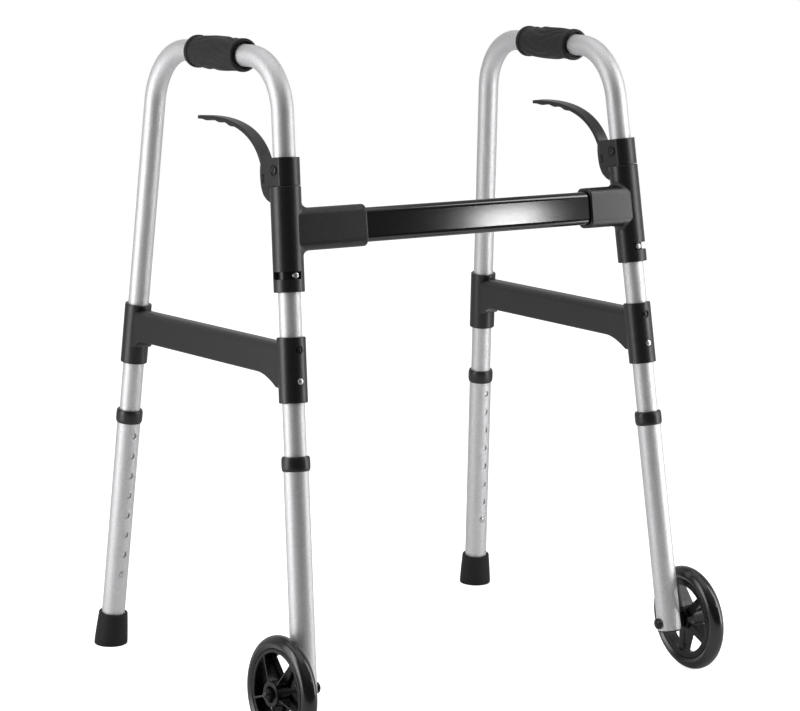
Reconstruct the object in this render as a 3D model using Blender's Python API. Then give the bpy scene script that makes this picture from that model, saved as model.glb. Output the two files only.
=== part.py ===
"""Folding two-wheeled walker, standing with its legs at the shortest setting.

Metres, +Z up. The crossbar and the wheels are at the front, towards -Y, and the user
stands behind it, at +Y. The origin is on the floor, in the middle of the footprint.
Every piece is modelled for the left side, in the frame of the body that carries it,
and mirrored for the right side. In those frames X points outboard, Y to the rear
and Z up the leg.
"""
import math

import bmesh
import bpy
from mathutils import Matrix, Vector

# Stance of a side frame: half the spacing of the front legs at the floor, floor
# distance from front to rear leg, and how the frame and its two legs lean
FRONT_HALF_TRACK = 0.2607
BASE_LENGTH = 0.4469
SPLAY = math.radians(2.62)
TOE = math.radians(2.10)
FRONT_RAKE = math.radians(9.07)
REAR_RAKE = math.radians(4.55)

# Upper frame tube, bent over the top, and the outer leg tubes that slide over it
FRAME_RADIUS = 0.0127
FRAME_WALL = 0.0016
LEG_WALL = 0.0013
SLIDE_GAP = 0.0003
BEND_RADIUS = 0.0705
TOP_RISE = math.radians(1.3)

# Hand grip, centred on the straight top of the tube
GRIP_HEIGHT = 0.7497
GRIP_SETBACK = 0.2478
GRIP_LENGTH = 0.1048
GRIP_FLANGE_RADIUS = 0.0192
GRIP_FLANGE = 0.0065
GRIP_FLANGE_ROUND = 0.0020
GRIP_NECK_RADIUS = 0.0172
GRIP_CROWN_RADIUS = 0.0200
GRIP_CROWN_POWER = 0.6
GRIP_MOUTH_RADIUS = 0.0162
GRIP_MOUTH_DEPTH = 0.0050

# Snap-button adjustment: the same row of holes in each outer leg
HOLE_COUNT = 8
HOLE_PITCH = 0.0254
HOLE_DROP = 0.0311
BUTTON_RADIUS = 0.00375
BUTTON_STANDOUT = 0.0016
CLIP_THICKNESS = 0.0007
CLIP_WIDTH = 0.0058
CLIP_LENGTH = 0.0340
CLIP_TAIL = 0.0060
CLIP_NOSE = 0.0018
BUTTON_EDGE = 0.0004
INNER_TAIL = 0.0180

# Collars where the frame tube enters the outer legs
FRONT_COLLAR_TOP = 0.3214
REAR_COLLAR_TOP = 0.3029
LEG_COLLAR_RADIUS = 0.01625
LEG_COLLAR_HEIGHT = 0.0165
LEG_COLLAR_LIP = 0.0040
LEG_COLLAR_TAPER = 0.0011
LEG_COLLAR_SHOULDER = 0.0050

# Wheel, on the outboard side of the front leg
WHEEL_RADIUS = 0.0635
TYRE_WIDTH = 0.0195
TYRE_BASE = 0.0156
TYRE_DEPTH = 0.0138
WHEEL_OFFSET = 0.0298
RIM_WIDTH = 0.0160
RIM_BAND = (0.0080, 0.0045)
HUB_RADIUS = 0.0145
HUB_OUTER_REACH = 0.0152
HUB_RECESS_RADIUS = 0.0095
HUB_RECESS_DEPTH = 0.0040
SPOKE_COUNT = 5
SPOKE_PHASE = {"left": math.radians(9.0), "right": math.radians(-3.0)}
BUSHING_WALL = 0.0020
AXLE_RADIUS = 0.0040
AXLE_TO_TUBE_END = 0.0088
AXLE_HEAD_RADIUS = 0.0066
AXLE_HEAD = 0.0046
SPACER_LENGTH = 0.0030
SPACER_RADIUS = 0.0080
NUT_RADIUS = 0.0072
NUT_HEX = 0.0070
NUT_DOME = 0.0052
NUT_DOME_RADIUS = 0.0058
NUT_OVERLAP = 0.0010
PLUG_THICKNESS = 0.0015
PLUG_STUB = 0.0030

# Spokes of the wheel, each a flat plate with a fin on its outboard face: sizes at the hub
# and at the rim, places measured outboard from the middle of the tyre
SPOKE_WIDTH = (0.0100, 0.0086)
SPOKE_INNER_FACE = (-0.0086, -0.0060)
SPOKE_OUTER_FACE = (-0.0030, -0.0005)
SPOKE_RIDGE = (0.0132, 0.0074)
SPOKE_FIN = 0.0022
SPOKE_ROOT = 0.0022

# Rubber tip of the rear leg
TIP_HEIGHT = 0.0412
TIP_TOP_RADIUS = 0.0180
TIP_LIP = 0.0012
TIP_FOOT_RADIUS = 0.0206
TIP_FOOT = 0.0060
TIP_WAIST_RADIUS = 0.0196
TIP_WAIST = 0.0210
TIP_FLOOR = 0.0090

# Moulded side brace between the two legs; its share of the free leg between the collar
# and the housing lies below it
BRACE_SHARE = 0.5440
BRACE_REAR_DROP = 0.0178
BRACE_SLEEVE_HEIGHT = 0.0731
BRACE_SLEEVE_RADIUS = 0.01625
BRACE_SLEEVE_CHAMFER = 0.0010
BRACE_TOP_RISE = 0.0669
BRACE_SLOPE = 0.0365
BRACE_HEIGHT = 0.0368
BRACE_HALF_WIDTH = 0.0125
BRACE_TOP_ROUND = 0.0085
BRACE_LOW_ROUND = 0.0020
BRACE_WALL = 0.0030
BRACE_RIBS = 3
FRONT_FLARE = (0.0400, 0.0128)
REAR_FLARE = (0.0160, 0.0090)
FLARE_POWER = 1.8
BRACE_SCREW_RISE = 0.0590
BRACE_RIVET_RISE = 0.0240

# Hinge housing that turns on the front leg and holds the crossbar
HOUSING_LENGTH = 0.1173
HOUSING_RADIUS = 0.01745
HOUSING_CHAMFER = 0.0012
ARM_RISE = 0.0685
ARM_HALF_HEIGHT = 0.0240
ARM_HALF_DEPTH = 0.0145
ARM_ROUND = 0.0095
ARM_MOUTH = {"left": 0.1720, "right": 0.1420}
ARM_END_ROUND = 0.0022
ARM_ROOT_SHARE = 0.6
ARM_TOP_FILLET = 0.0072
ARM_LOW_FILLET = 0.0070
STOP_SLOT_RISE = 0.0186
STOP_HEAD_RADIUS = 0.0040

# Crossbar, a flat-oval tube pushed into both housings
BAR_HALF_HEIGHT = 0.0196
BAR_HALF_DEPTH = 0.0111
BAR_ROUND = 0.0075
BAR_WALL = 0.0018
BAR_FORWARD = 0.0020
BAR_HALF_LENGTH = 0.2090
BAR_RIVET_REACH = 0.1900
BAR_RIVET_HEAD = 0.0020

# Fold of each side frame about its front leg, in degrees
RIGHT_FOLD = 84.0
LEFT_FOLD = 58.0

# Collar on the front leg that carries the release lever
BRACKET_BELOW_BEND = 0.0484
BRACKET_GAP = 0.0005
BRACKET_HEIGHT = 0.0314
BRACKET_RADIUS = 0.0170
BRACKET_HALF_WIDTH = 0.0145
BRACKET_ROUND = 0.0030
BRACKET_WALL = 0.0033
BRACKET_BOLT_RISE = 0.0174
BOLT_RADIUS = 0.0025
BOLT_HEAD_RADIUS = 0.0048
BOLT_HEAD = 0.0022
BOLT_RECESS_RADIUS = 0.0066
BOLT_RECESS_DEPTH = 0.0010

# Pivot of the release lever in the bracket's ears
PIVOT_SETBACK = 0.0223
PIVOT_RISE = 0.0096
PIVOT_RADIUS = 0.0030
PIVOT_HEAD_RADIUS = 0.0046
PIVOT_HEAD = 0.0011
PIVOT_EAR_RADIUS = 0.0058
PIVOT_RECESS_RADIUS = 0.0051
PIVOT_RECESS_DEPTH = 0.0012

# Release lever, (rear, up) from its pivot: the points that steer the curve of its strap,
# and the side view of its lower body from the toe round the rear to the strap
LEVER_HALF_WIDTH = 0.0075
LEVER_EDGE = 0.0010
LEVER_THICKNESS = (0.0054, 0.0043)
LEVER_CURVE = ((0.0120, 0.0100), (0.0210, 0.0490), (0.0646, 0.0740), (0.1506, 0.0790))
LEVER_BUMP = 0.0016
LEVER_BUMPS = 3
LEVER_BUMP_SPAN = (0.60, 0.97)
TOE_BOTTOM = -0.0270
LEVER_BODY = ((-0.0020, -0.0276), (0.0055, -0.0242), (0.0126, -0.0183), (0.0164, -0.0103),
              (0.0179, -0.0010), (0.0179, 0.0092), (0.0165, 0.0176), (0.0098, 0.0190),
              (0.0040, 0.0090))
LEVER_BODY_EDGE = 0.0006
LEVER_FRONT_GAP = 0.0009
TOE_GAP = 0.00045

# Lock tooth of the lever and its track round the housing
TOOTH_RISE = 0.0077
TOOTH_HEIGHT = 0.0050
TOOTH_HALF_WIDTH = 0.0040
TOOTH_ENGAGEMENT = 0.0021
TOOTH_ROOT = 0.0020
TRACK_GAP = 0.0005

# Torsion spring of the lever, and its pocket: reach to the rear and half its height
SPRING_WIRE = 0.0006
SPRING_COIL_RADIUS = 0.0046
SPRING_TURNS = 3
SPRING_GAP = 0.0004
SPRING_LEG = 0.0086
SPRING_POCKET = (0.0092, 0.0075)
SPRING_POCKET_SIDE = 0.0012

# Screws and rivets of the brace, the bar and the stop; how deep a shank goes into a tube
SCREW_SHANK_RADIUS = 0.0020
SCREW_HEAD_RADIUS = 0.0032
SCREW_RECESS_RADIUS = 0.0046
SCREW_RECESS_DEPTH = 0.0021
RIVET_HEAD_RADIUS = 0.0036
RIVET_RECESS_DEPTH = 0.0013
RIVET_STANDOUT = 0.0014
SHANK_DEPTH = 0.0030

# Domed head of a fastener: shares of its height up to its edge and from there to the
# crown of the dome, and share of its radius at the crown
HEAD_EDGE_SHARE = 0.45
HEAD_CROWN_SHARE = 0.80
HEAD_FACE_SHARE = 0.62

# Gap between pieces that touch or are pressed together
TOUCH = 0.0003
RUNNING_GAP = 0.00035
# How far a cutter runs past the surface that it cuts, and how far a drill runs
OVERCUT = 0.0040
DRILL_REACH = 0.0300

# Facets round a tube, a wheel, a screw and a bend
TUBE_SIDES = 16
WHEEL_SIDES = 28
AXLE_SIDES = 12
SCREW_SIDES = 8
BEND_STEPS = 5
# Angle of one facet of a track round the housing, in degrees
GROOVE_STEP = 14.0

# Edges sharper than this are shaded as edges, and those of the lever's body are chamfered
SHARP_ANGLE = math.radians(35.0)
CHAMFER_ANGLE = math.radians(50.0)

# Sizes that follow from the ones above
LEG_INNER = FRAME_RADIUS + SLIDE_GAP
LEG_RADIUS = LEG_INNER + LEG_WALL
SLEEVE_BORE = FRAME_RADIUS + TOUCH
LEG_SEAT = LEG_RADIUS + TOUCH
HOLE_RADIUS = BUTTON_RADIUS + TOUCH
LEG_TRAVEL = (HOLE_COUNT - 1) * HOLE_PITCH
FRONT_BUTTON = FRONT_COLLAR_TOP - HOLE_DROP - LEG_TRAVEL
REAR_BUTTON = REAR_COLLAR_TOP - HOLE_DROP - LEG_TRAVEL
RIM_RADIUS = WHEEL_RADIUS - TYRE_DEPTH - TOUCH
RIM_OPENING = (RIM_RADIUS - RIM_BAND[0], RIM_RADIUS - RIM_BAND[1])
HUB_INNER_END = LEG_RADIUS + TOUCH + SPACER_LENGTH + TOUCH
HUB_OUTER_END = WHEEL_OFFSET + HUB_OUTER_REACH
BUSHING_BORE = AXLE_RADIUS + RUNNING_GAP
BUSHING_RADIUS = BUSHING_BORE + BUSHING_WALL
TYRE_ROUND = TYRE_WIDTH / 2.0
BRACKET_REAR = PIVOT_SETBACK + PIVOT_EAR_RADIUS
LEVER_SLOT_FRONT = SLEEVE_BORE + BRACKET_WALL
LEVER_FRONT = LEVER_SLOT_FRONT - PIVOT_SETBACK + LEVER_FRONT_GAP
TOE_RADIUS = HOUSING_RADIUS + TOE_GAP
SPRING_PITCH = 2.0 * SPRING_WIRE + SPRING_GAP
FOLDS = {"left": LEFT_FOLD, "right": RIGHT_FOLD}

# Heights on the front leg, from its bend down: the bracket hangs under the bend, the
# housing under the bracket, and the brace lies between the housing and the leg's collar
FRONT_CORNER = (GRIP_HEIGHT + math.tan(TOP_RISE) * GRIP_SETBACK) / (
    math.cos(FRONT_RAKE) + math.tan(TOP_RISE) * math.sin(FRONT_RAKE))
FRONT_TURN = math.pi / 2.0 - FRONT_RAKE + TOP_RISE
BEND_START = FRONT_CORNER - BEND_RADIUS * math.tan(FRONT_TURN / 2.0)
BRACKET_LOW = BEND_START - BRACKET_BELOW_BEND - BRACKET_HEIGHT
BRACKET_BOLT_HEIGHT_ON_LEG = BRACKET_LOW + BRACKET_BOLT_RISE
PIVOT_HEIGHT_ON_LEG = BRACKET_LOW + PIVOT_RISE
HOUSING_TOP = BRACKET_LOW - BRACKET_GAP
HOUSING_LOW = HOUSING_TOP - HOUSING_LENGTH
ARM_HEIGHT_ON_LEG = HOUSING_LOW + ARM_RISE
STOP_SLOT_HEIGHT_ON_LEG = HOUSING_LOW + STOP_SLOT_RISE
FREE_LEG = HOUSING_LOW - FRONT_COLLAR_TOP - BRACE_SLEEVE_HEIGHT
BRACE_FRONT_LOW = FRONT_COLLAR_TOP + BRACE_SHARE * FREE_LEG
BRACE_REAR_LOW = BRACE_FRONT_LOW - BRACE_REAR_DROP
BRACE_TOP_AT_FRONT = BRACE_FRONT_LOW * math.cos(FRONT_RAKE) + BRACE_TOP_RISE

MIRROR = Matrix.Scale(-1.0, 4, Vector((1.0, 0.0, 0.0)))
TO_OUTBOARD = Matrix.Rotation(math.radians(90.0), 4, "Y")
TO_INBOARD = Matrix.Rotation(math.radians(-90.0), 4, "Y")
TO_FRONT = Matrix.Rotation(math.radians(90.0), 4, "X")
TO_REAR = Matrix.Rotation(math.radians(-90.0), 4, "X")

# Colour, roughness and metallic value of each material
MATERIALS = {
    "satin_aluminium": ((0.66, 0.66, 0.67), 0.32, 1.0),
    "grip_rubber": ((0.040, 0.040, 0.042), 0.62, 0.0),
    "moulded_plastic": ((0.022, 0.022, 0.023), 0.48, 0.0),
    "gloss_black": ((0.006, 0.006, 0.007), 0.12, 0.0),
    "tyre_rubber": ((0.018, 0.018, 0.019), 0.38, 0.0),
    "wheel_plastic": ((0.014, 0.014, 0.015), 0.34, 0.0),
    "tip_rubber": ((0.035, 0.035, 0.036), 0.60, 0.0),
    "zinc_steel": ((0.70, 0.70, 0.71), 0.26, 1.0),
    "black_steel": ((0.020, 0.020, 0.021), 0.34, 0.6),
    "nylon": ((0.045, 0.045, 0.047), 0.45, 0.0),
}


# Placing

def side_matrix():
    """Frame of the left side frame: X outboard, Y to the rear, Z up in its plane."""
    rear = Vector((math.sin(TOE), math.cos(TOE), 0.0))
    level_out = Vector((math.cos(TOE), -math.sin(TOE), 0.0))
    out = level_out * math.cos(SPLAY) + Vector((0.0, 0.0, math.sin(SPLAY)))
    up = out.cross(rear)
    matrix = Matrix((out, rear, up)).transposed().to_4x4()
    matrix.translation = Vector((FRONT_HALF_TRACK, footprint_shift(), 0.0))
    return matrix


def axle_height():
    """Height of the axle above the floor, so that the tyre just touches the floor."""
    return (WHEEL_RADIUS - TYRE_ROUND) * math.cos(SPLAY) + TYRE_ROUND


def axle_on_leg():
    """Distance of the axle from the floor point of the front leg, along the leg."""
    leg_height = axle_height() - WHEEL_OFFSET * math.sin(SPLAY)
    return leg_height / (math.cos(FRONT_RAKE) * math.cos(SPLAY))


def footprint_shift():
    """Shift along Y that centres the walker between its wheels and its rear tips."""
    axle_setback = axle_on_leg() * math.sin(FRONT_RAKE) * math.cos(TOE)
    wheel_reach = WHEEL_RADIUS + WHEEL_OFFSET * math.sin(TOE)
    front = axle_setback - wheel_reach
    rear = BASE_LENGTH * math.cos(TOE) + TIP_FOOT_RADIUS
    return -(front + rear) / 2.0


SIDE = side_matrix()
FRONT_LEG = SIDE @ Matrix.Rotation(-FRONT_RAKE, 4, "X")
REAR_LEG = SIDE @ Matrix.Translation((0.0, BASE_LENGTH, 0.0)) @ Matrix.Rotation(REAR_RAKE, 4, "X")
WHEEL = FRONT_LEG @ Matrix.Translation((0.0, 0.0, axle_on_leg())) @ Matrix.Rotation(FRONT_RAKE, 4, "X")
LEVER = FRONT_LEG @ Matrix.Translation((0.0, PIVOT_SETBACK, PIVOT_HEIGHT_ON_LEG))
FRONT_CLIP = FRONT_LEG @ Matrix.Translation((0.0, 0.0, FRONT_BUTTON))
REAR_CLIP = REAR_LEG @ Matrix.Translation((0.0, 0.0, REAR_BUTTON))


def crossbar_matrix():
    """Frame of the crossbar: X across the walker, Z leaning back as the legs do."""
    seat = FRONT_LEG @ Vector((0.0, 0.0, ARM_HEIGHT_ON_LEG))
    up = FRONT_LEG.to_3x3() @ Vector((0.0, 0.0, 1.0))
    lean = math.atan2(up.y, up.z)
    matrix = Matrix.Translation((0.0, seat.y, seat.z)) @ Matrix.Rotation(-lean, 4, "X")
    return matrix @ Matrix.Translation((0.0, -BAR_FORWARD, 0.0))


CROSSBAR = crossbar_matrix()


# Making shapes

def new_mesh(bm):
    """Turn a closed bmesh into a mesh whose faces point outwards."""
    bmesh.ops.recalc_face_normals(bm, faces=bm.faces)
    mesh = bpy.data.meshes.new("shape")
    bm.to_mesh(mesh)
    bm.free()
    return mesh


def bridge(bm, first, second):
    """Join two rings of vertices with faces; a ring of one vertex is a point."""
    count = max(len(first), len(second))
    for i in range(count):
        j = (i + 1) % count
        corners = [first[i % len(first)], first[j % len(first)],
                   second[j % len(second)], second[i % len(second)]]
        unique = []
        for corner in corners:
            if corner not in unique:
                unique.append(corner)
        if len(unique) > 2:
            bm.faces.new(unique)


def lathe(profile, sides, matrix=Matrix.Identity(4)):
    """Turn a closed outline of (radius, height) points about Z, flat ends as one face."""
    bm = bmesh.new()
    rings = []
    for radius, height in profile:
        count = sides if radius > 0.0 else 1
        ring = []
        for i in range(count):
            angle = math.tau * i / count
            ring.append(bm.verts.new((radius * math.cos(angle), radius * math.sin(angle), height)))
        rings.append(ring)
    for i, first in enumerate(rings):
        second = rings[(i + 1) % len(rings)]
        flat = first[0].co.z == second[0].co.z
        if len(first) == len(second) == 1:
            continue
        if flat and len(first) == 1:
            bm.faces.new(second)
        elif flat and len(second) == 1:
            bm.faces.new(first)
        else:
            bridge(bm, first, second)
    for vertex in [vertex for vertex in bm.verts if not vertex.link_faces]:
        bm.verts.remove(vertex)
    mesh = new_mesh(bm)
    mesh.transform(matrix)
    return mesh


def loft(sections, closed=False):
    """Skin a list of equal rings of points, capped at both ends unless it closes."""
    bm = bmesh.new()
    rings = [[bm.verts.new(point) for point in section] for section in sections]
    for first, second in zip(rings, rings[1:]):
        bridge(bm, first, second)
    if closed:
        bridge(bm, rings[-1], rings[0])
    else:
        bm.faces.new(rings[0])
        bm.faces.new(rings[-1])
    return new_mesh(bm)


def cylinder(radius, low, high, matrix=Matrix.Identity(4), sides=TUBE_SIDES):
    """Plain cylinder about Z."""
    return lathe([(0.0, low), (radius, low), (radius, high), (0.0, high)], sides, matrix)


def sleeve(radius, low, high, chamfer):
    """Solid round sleeve about Z with chamfered ends, bored later."""
    return lathe([(0.0, low), (radius - chamfer, low), (radius, low + chamfer),
                  (radius, high - chamfer), (radius - chamfer, high), (0.0, high)], TUBE_SIDES)


def tube(outer, inner, low, high, matrix=Matrix.Identity(4), sides=TUBE_SIDES):
    """Straight tube about Z."""
    return lathe([(inner, low), (outer, low), (outer, high), (inner, high)], sides, matrix)


def box(low, high):
    """Box between two corners."""
    (x0, y0, z0), (x1, y1, z1) = low, high
    return loft([[(x, y0, z0), (x, y1, z0), (x, y1, z1), (x, y0, z1)] for x in (x0, x1)])


def arc(centre, radius, start, end, steps):
    """Points on an arc, angles in degrees."""
    points = []
    for i in range(steps + 1):
        angle = math.radians(start + (end - start) * i / steps)
        points.append((centre[0] + radius * math.cos(angle), centre[1] + radius * math.sin(angle)))
    return points


def rounded_outline(left, right, low, high, low_round, high_round, steps=2):
    """Rectangle with rounded lower and upper corners, counter-clockwise."""
    points = arc((right - low_round, low + low_round), low_round, -90, 0, steps)
    points += arc((right - high_round, high - high_round), high_round, 0, 90, steps)
    points += arc((left + high_round, high - high_round), high_round, 90, 180, steps)
    points += arc((left + low_round, low + low_round), low_round, 180, 270, steps)
    return points


def bevelled(mesh, width):
    """Chamfer every sharp edge."""
    bm = bmesh.new()
    bm.from_mesh(mesh)
    edges = [edge for edge in bm.edges if edge.calc_face_angle(0.0) > CHAMFER_ANGLE]
    bmesh.ops.bevel(bm, geom=edges, offset=width, segments=1, affect="EDGES", clamp_overlap=True)
    return new_mesh(bm)


def combined(base, cuts=(), joins=()):
    """Join solids to a base, cut others from it, and return the finished mesh."""
    target = bpy.data.objects.new("work", base)
    bpy.context.collection.objects.link(target)
    helpers = []
    for operation, meshes in (("UNION", joins), ("DIFFERENCE", cuts)):
        for mesh in meshes:
            helper = bpy.data.objects.new("helper", mesh)
            bpy.context.collection.objects.link(helper)
            helper.hide_render = True
            helper.display_type = "WIRE"
            helpers.append(helper)
            modifier = target.modifiers.new(operation.lower(), "BOOLEAN")
            modifier.operation = operation
            modifier.solver = "EXACT"
            modifier.object = helper
    evaluated = target.evaluated_get(bpy.context.evaluated_depsgraph_get())
    result = bpy.data.meshes.new_from_object(evaluated)
    for item in helpers + [target]:
        bpy.data.objects.remove(item)
    return result


def moved(mesh, matrix):
    """A mesh after a transform."""
    mesh.transform(matrix)
    return mesh


def at(x=0.0, y=0.0, z=0.0):
    """Shift by the given amounts."""
    return Matrix.Translation((x, y, z))


# Screws, rivets and the holes for them

def drill(radius, height, facing, start=0.0, sides=SCREW_SIDES):
    """Cutter for a round hole that leaves the leg's axis at a height along it."""
    return cylinder(radius, start, DRILL_REACH, at(z=height) @ facing, sides)


def dome_fastener(shank_radius, head_radius, inner_end, seat, top):
    """Outline of a screw or rivet with a domed head, pointing along Z."""
    edge = seat + (top - seat) * HEAD_EDGE_SHARE
    crown = edge + (top - edge) * HEAD_CROWN_SHARE
    return [(0.0, inner_end), (shank_radius, inner_end), (shank_radius, seat),
            (head_radius, seat), (head_radius, edge),
            (head_radius * HEAD_FACE_SHARE, crown), (0.0, top)]


def recessed_screw(height, facing):
    """Black screw whose head lies in a recess of a brace sleeve."""
    seat = BRACE_SLEEVE_RADIUS - SCREW_RECESS_DEPTH + TOUCH
    profile = dome_fastener(SCREW_SHANK_RADIUS, SCREW_HEAD_RADIUS, FRAME_RADIUS - SHANK_DEPTH,
                            seat, BRACE_SLEEVE_RADIUS - TOUCH)
    return lathe(profile, SCREW_SIDES, at(z=height) @ facing)


def dome_rivet(height, facing):
    """Bright rivet whose head stands a little proud of a brace sleeve."""
    seat = BRACE_SLEEVE_RADIUS - RIVET_RECESS_DEPTH + TOUCH
    profile = dome_fastener(SCREW_SHANK_RADIUS, RIVET_HEAD_RADIUS, FRAME_RADIUS - SHANK_DEPTH,
                            seat, BRACE_SLEEVE_RADIUS + RIVET_STANDOUT)
    return lathe(profile, SCREW_SIDES, at(z=height) @ facing)


def brace_fastener_heights(low):
    """Heights of the screw and of the rivet on a sleeve that starts at a height."""
    return low + BRACE_SCREW_RISE, low + BRACE_RIVET_RISE


def brace_fastener_cutters(low, facing):
    """Holes and recesses for the screw and the rivet of one sleeve."""
    screw, rivet = brace_fastener_heights(low)
    shank = SCREW_SHANK_RADIUS + TOUCH
    return [drill(shank, screw, facing), drill(shank, rivet, facing),
            drill(SCREW_RECESS_RADIUS, screw, facing, BRACE_SLEEVE_RADIUS - SCREW_RECESS_DEPTH),
            drill(SCREW_RECESS_RADIUS, rivet, facing, BRACE_SLEEVE_RADIUS - RIVET_RECESS_DEPTH)]


# Upper frame

def meeting_point(start, direction, other_start, other_direction):
    """Point where two lines in the plane of the side frame cross."""
    cross = direction[0] * other_direction[1] - direction[1] * other_direction[0]
    gap = (other_start[0] - start[0], other_start[1] - start[1])
    step = (gap[0] * other_direction[1] - gap[1] * other_direction[0]) / cross
    return (start[0] + direction[0] * step, start[1] + direction[1] * step)


def bend_points(before, corner, after):
    """Points and headings along a bend of the tube, which rounds off a corner."""
    into = (Vector(corner) - Vector(before)).normalized()
    out = (Vector(after) - Vector(corner)).normalized()
    turn = into.angle(out)
    start = Vector(corner) - into * (BEND_RADIUS * math.tan(turn / 2.0))
    side = Vector((into.y, -into.x))
    centre = start + side * BEND_RADIUS
    points = []
    for i in range(BEND_STEPS + 1):
        angle = turn * i / BEND_STEPS
        heading = into * math.cos(angle) + side * math.sin(angle)
        points.append((centre + BEND_RADIUS * (into * math.sin(angle) - side * math.cos(angle)), heading))
    return points


def frame_lines():
    """The leg axes and the top line: a point and a heading each, (rear, up)."""
    front = ((0.0, 0.0), (math.sin(FRONT_RAKE), math.cos(FRONT_RAKE)))
    top = ((GRIP_SETBACK, GRIP_HEIGHT), (math.cos(TOP_RISE), -math.sin(TOP_RISE)))
    rear = ((BASE_LENGTH, 0.0), (-math.sin(REAR_RAKE), math.cos(REAR_RAKE)))
    return front, top, rear


def frame_path():
    """Centre line of the bent tube, from the foot of its front leg to its rear one."""
    front, top, rear = frame_lines()
    first = tuple(front[1][k] * (FRONT_BUTTON - INNER_TAIL) for k in (0, 1))
    last = tuple(rear[0][k] + rear[1][k] * (REAR_BUTTON - INNER_TAIL) for k in (0, 1))
    front_corner = meeting_point(*front, *top)
    rear_corner = meeting_point(*rear, *top)
    path = [(Vector(first), Vector(front[1]))]
    path += bend_points(first, front_corner, rear_corner)
    path += bend_points(front_corner, rear_corner, last)
    path.append((Vector(last), -Vector(rear[1])))
    return path


def frame_rings(radius):
    """Rings of points round the centre line of the bent tube."""
    rings = []
    for centre, heading in frame_path():
        side = Vector((heading.y, -heading.x))
        ring = []
        for i in range(TUBE_SIDES):
            angle = math.tau * i / TUBE_SIDES
            shift = side * (radius * math.sin(angle))
            ring.append((radius * math.cos(angle), centre.x + shift.x, centre.y + shift.y))
        rings.append(ring)
    return rings


def frame_tube():
    """One tube bent over the top, with the holes for its buttons, screws and bolt."""
    outside, inside = frame_rings(FRAME_RADIUS), frame_rings(FRAME_RADIUS - FRAME_WALL)
    bm = bmesh.new()
    outer = [[bm.verts.new(point) for point in ring] for ring in outside]
    inner = [[bm.verts.new(point) for point in ring] for ring in inside]
    for rings in (outer, inner):
        for first, second in zip(rings, rings[1:]):
            bridge(bm, first, second)
    bridge(bm, outer[0], inner[0])
    bridge(bm, outer[-1], inner[-1])
    base = moved(new_mesh(bm), FRONT_LEG.inverted() @ SIDE)
    to_rear_leg = FRONT_LEG.inverted() @ REAR_LEG
    shank = SCREW_SHANK_RADIUS + TOUCH
    bolt = BOLT_RADIUS + TOUCH
    cuts = [drill(shank, height, TO_FRONT) for height in brace_fastener_heights(BRACE_FRONT_LOW)]
    cuts += [drill(shank, STOP_SLOT_HEIGHT_ON_LEG, TO_FRONT),
             drill(HOLE_RADIUS, FRONT_BUTTON, TO_REAR),
             drill(bolt, BRACKET_BOLT_HEIGHT_ON_LEG, TO_OUTBOARD, -DRILL_REACH)]
    rear = [drill(shank, height, TO_REAR) for height in brace_fastener_heights(BRACE_REAR_LOW)]
    rear.append(drill(HOLE_RADIUS, REAR_BUTTON, TO_FRONT))
    cuts += [moved(mesh, to_rear_leg) for mesh in rear]
    return combined(base, cuts)


def grip_matrix():
    """Frame of the grip, Z along the top tube to the rear, seen from the front leg."""
    tilt = Matrix.Rotation(-TOP_RISE, 4, "X") @ TO_REAR
    return FRONT_LEG.inverted() @ SIDE @ at(y=GRIP_SETBACK, z=GRIP_HEIGHT) @ tilt


def hand_grip():
    """Moulded grip: crowned body, a rounded flange at each end and open mouths."""
    half = GRIP_LENGTH / 2.0
    flange_foot = half - GRIP_FLANGE
    body = []
    steps = 4
    for i in range(steps + 1):
        place = -flange_foot + 2.0 * flange_foot * i / steps
        crown = math.cos(0.5 * math.pi * place / flange_foot) ** GRIP_CROWN_POWER if 0 < i < steps else 0.0
        body.append((GRIP_NECK_RADIUS + (GRIP_CROWN_RADIUS - GRIP_NECK_RADIUS) * crown, place))
    front = [(GRIP_MOUTH_RADIUS, -half), (GRIP_FLANGE_RADIUS - GRIP_FLANGE_ROUND, -half),
             (GRIP_FLANGE_RADIUS, GRIP_FLANGE_ROUND - half),
             (GRIP_FLANGE_RADIUS, -flange_foot - GRIP_FLANGE_ROUND)]
    rear = [(radius, -place) for radius, place in reversed(front)]
    bore = [(GRIP_MOUTH_RADIUS, half - GRIP_MOUTH_DEPTH), (SLEEVE_BORE, half - GRIP_MOUTH_DEPTH),
            (SLEEVE_BORE, GRIP_MOUTH_DEPTH - half), (GRIP_MOUTH_RADIUS, GRIP_MOUTH_DEPTH - half)]
    return lathe(front + body + rear + bore, TUBE_SIDES, grip_matrix())


# Hinge housing, crossbar and stop screw

def arm_section(reach, half_height_top, half_height_low):
    """Outline of the socket arm at a distance from the hinge axis."""
    extra = max(half_height_top, half_height_low) - ARM_HALF_HEIGHT
    corner = min(ARM_ROUND + extra, ARM_HALF_DEPTH - TOUCH)
    outline = rounded_outline(-ARM_HALF_DEPTH, ARM_HALF_DEPTH, -half_height_low,
                              half_height_top, corner, corner)
    return [(reach, y, z) for y, z in outline]


def fillet_rise(radius, distance):
    """Height of a fillet at a distance from the wall that it climbs."""
    if distance >= radius:
        return 0.0
    return radius - math.sqrt(radius ** 2 - (radius - distance) ** 2)


def hinge_axis_reach():
    """Distance across from the middle of the walker to the hinge axis at the crossbar."""
    return (FRONT_LEG @ Vector((0.0, 0.0, ARM_HEIGHT_ON_LEG))).x


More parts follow.
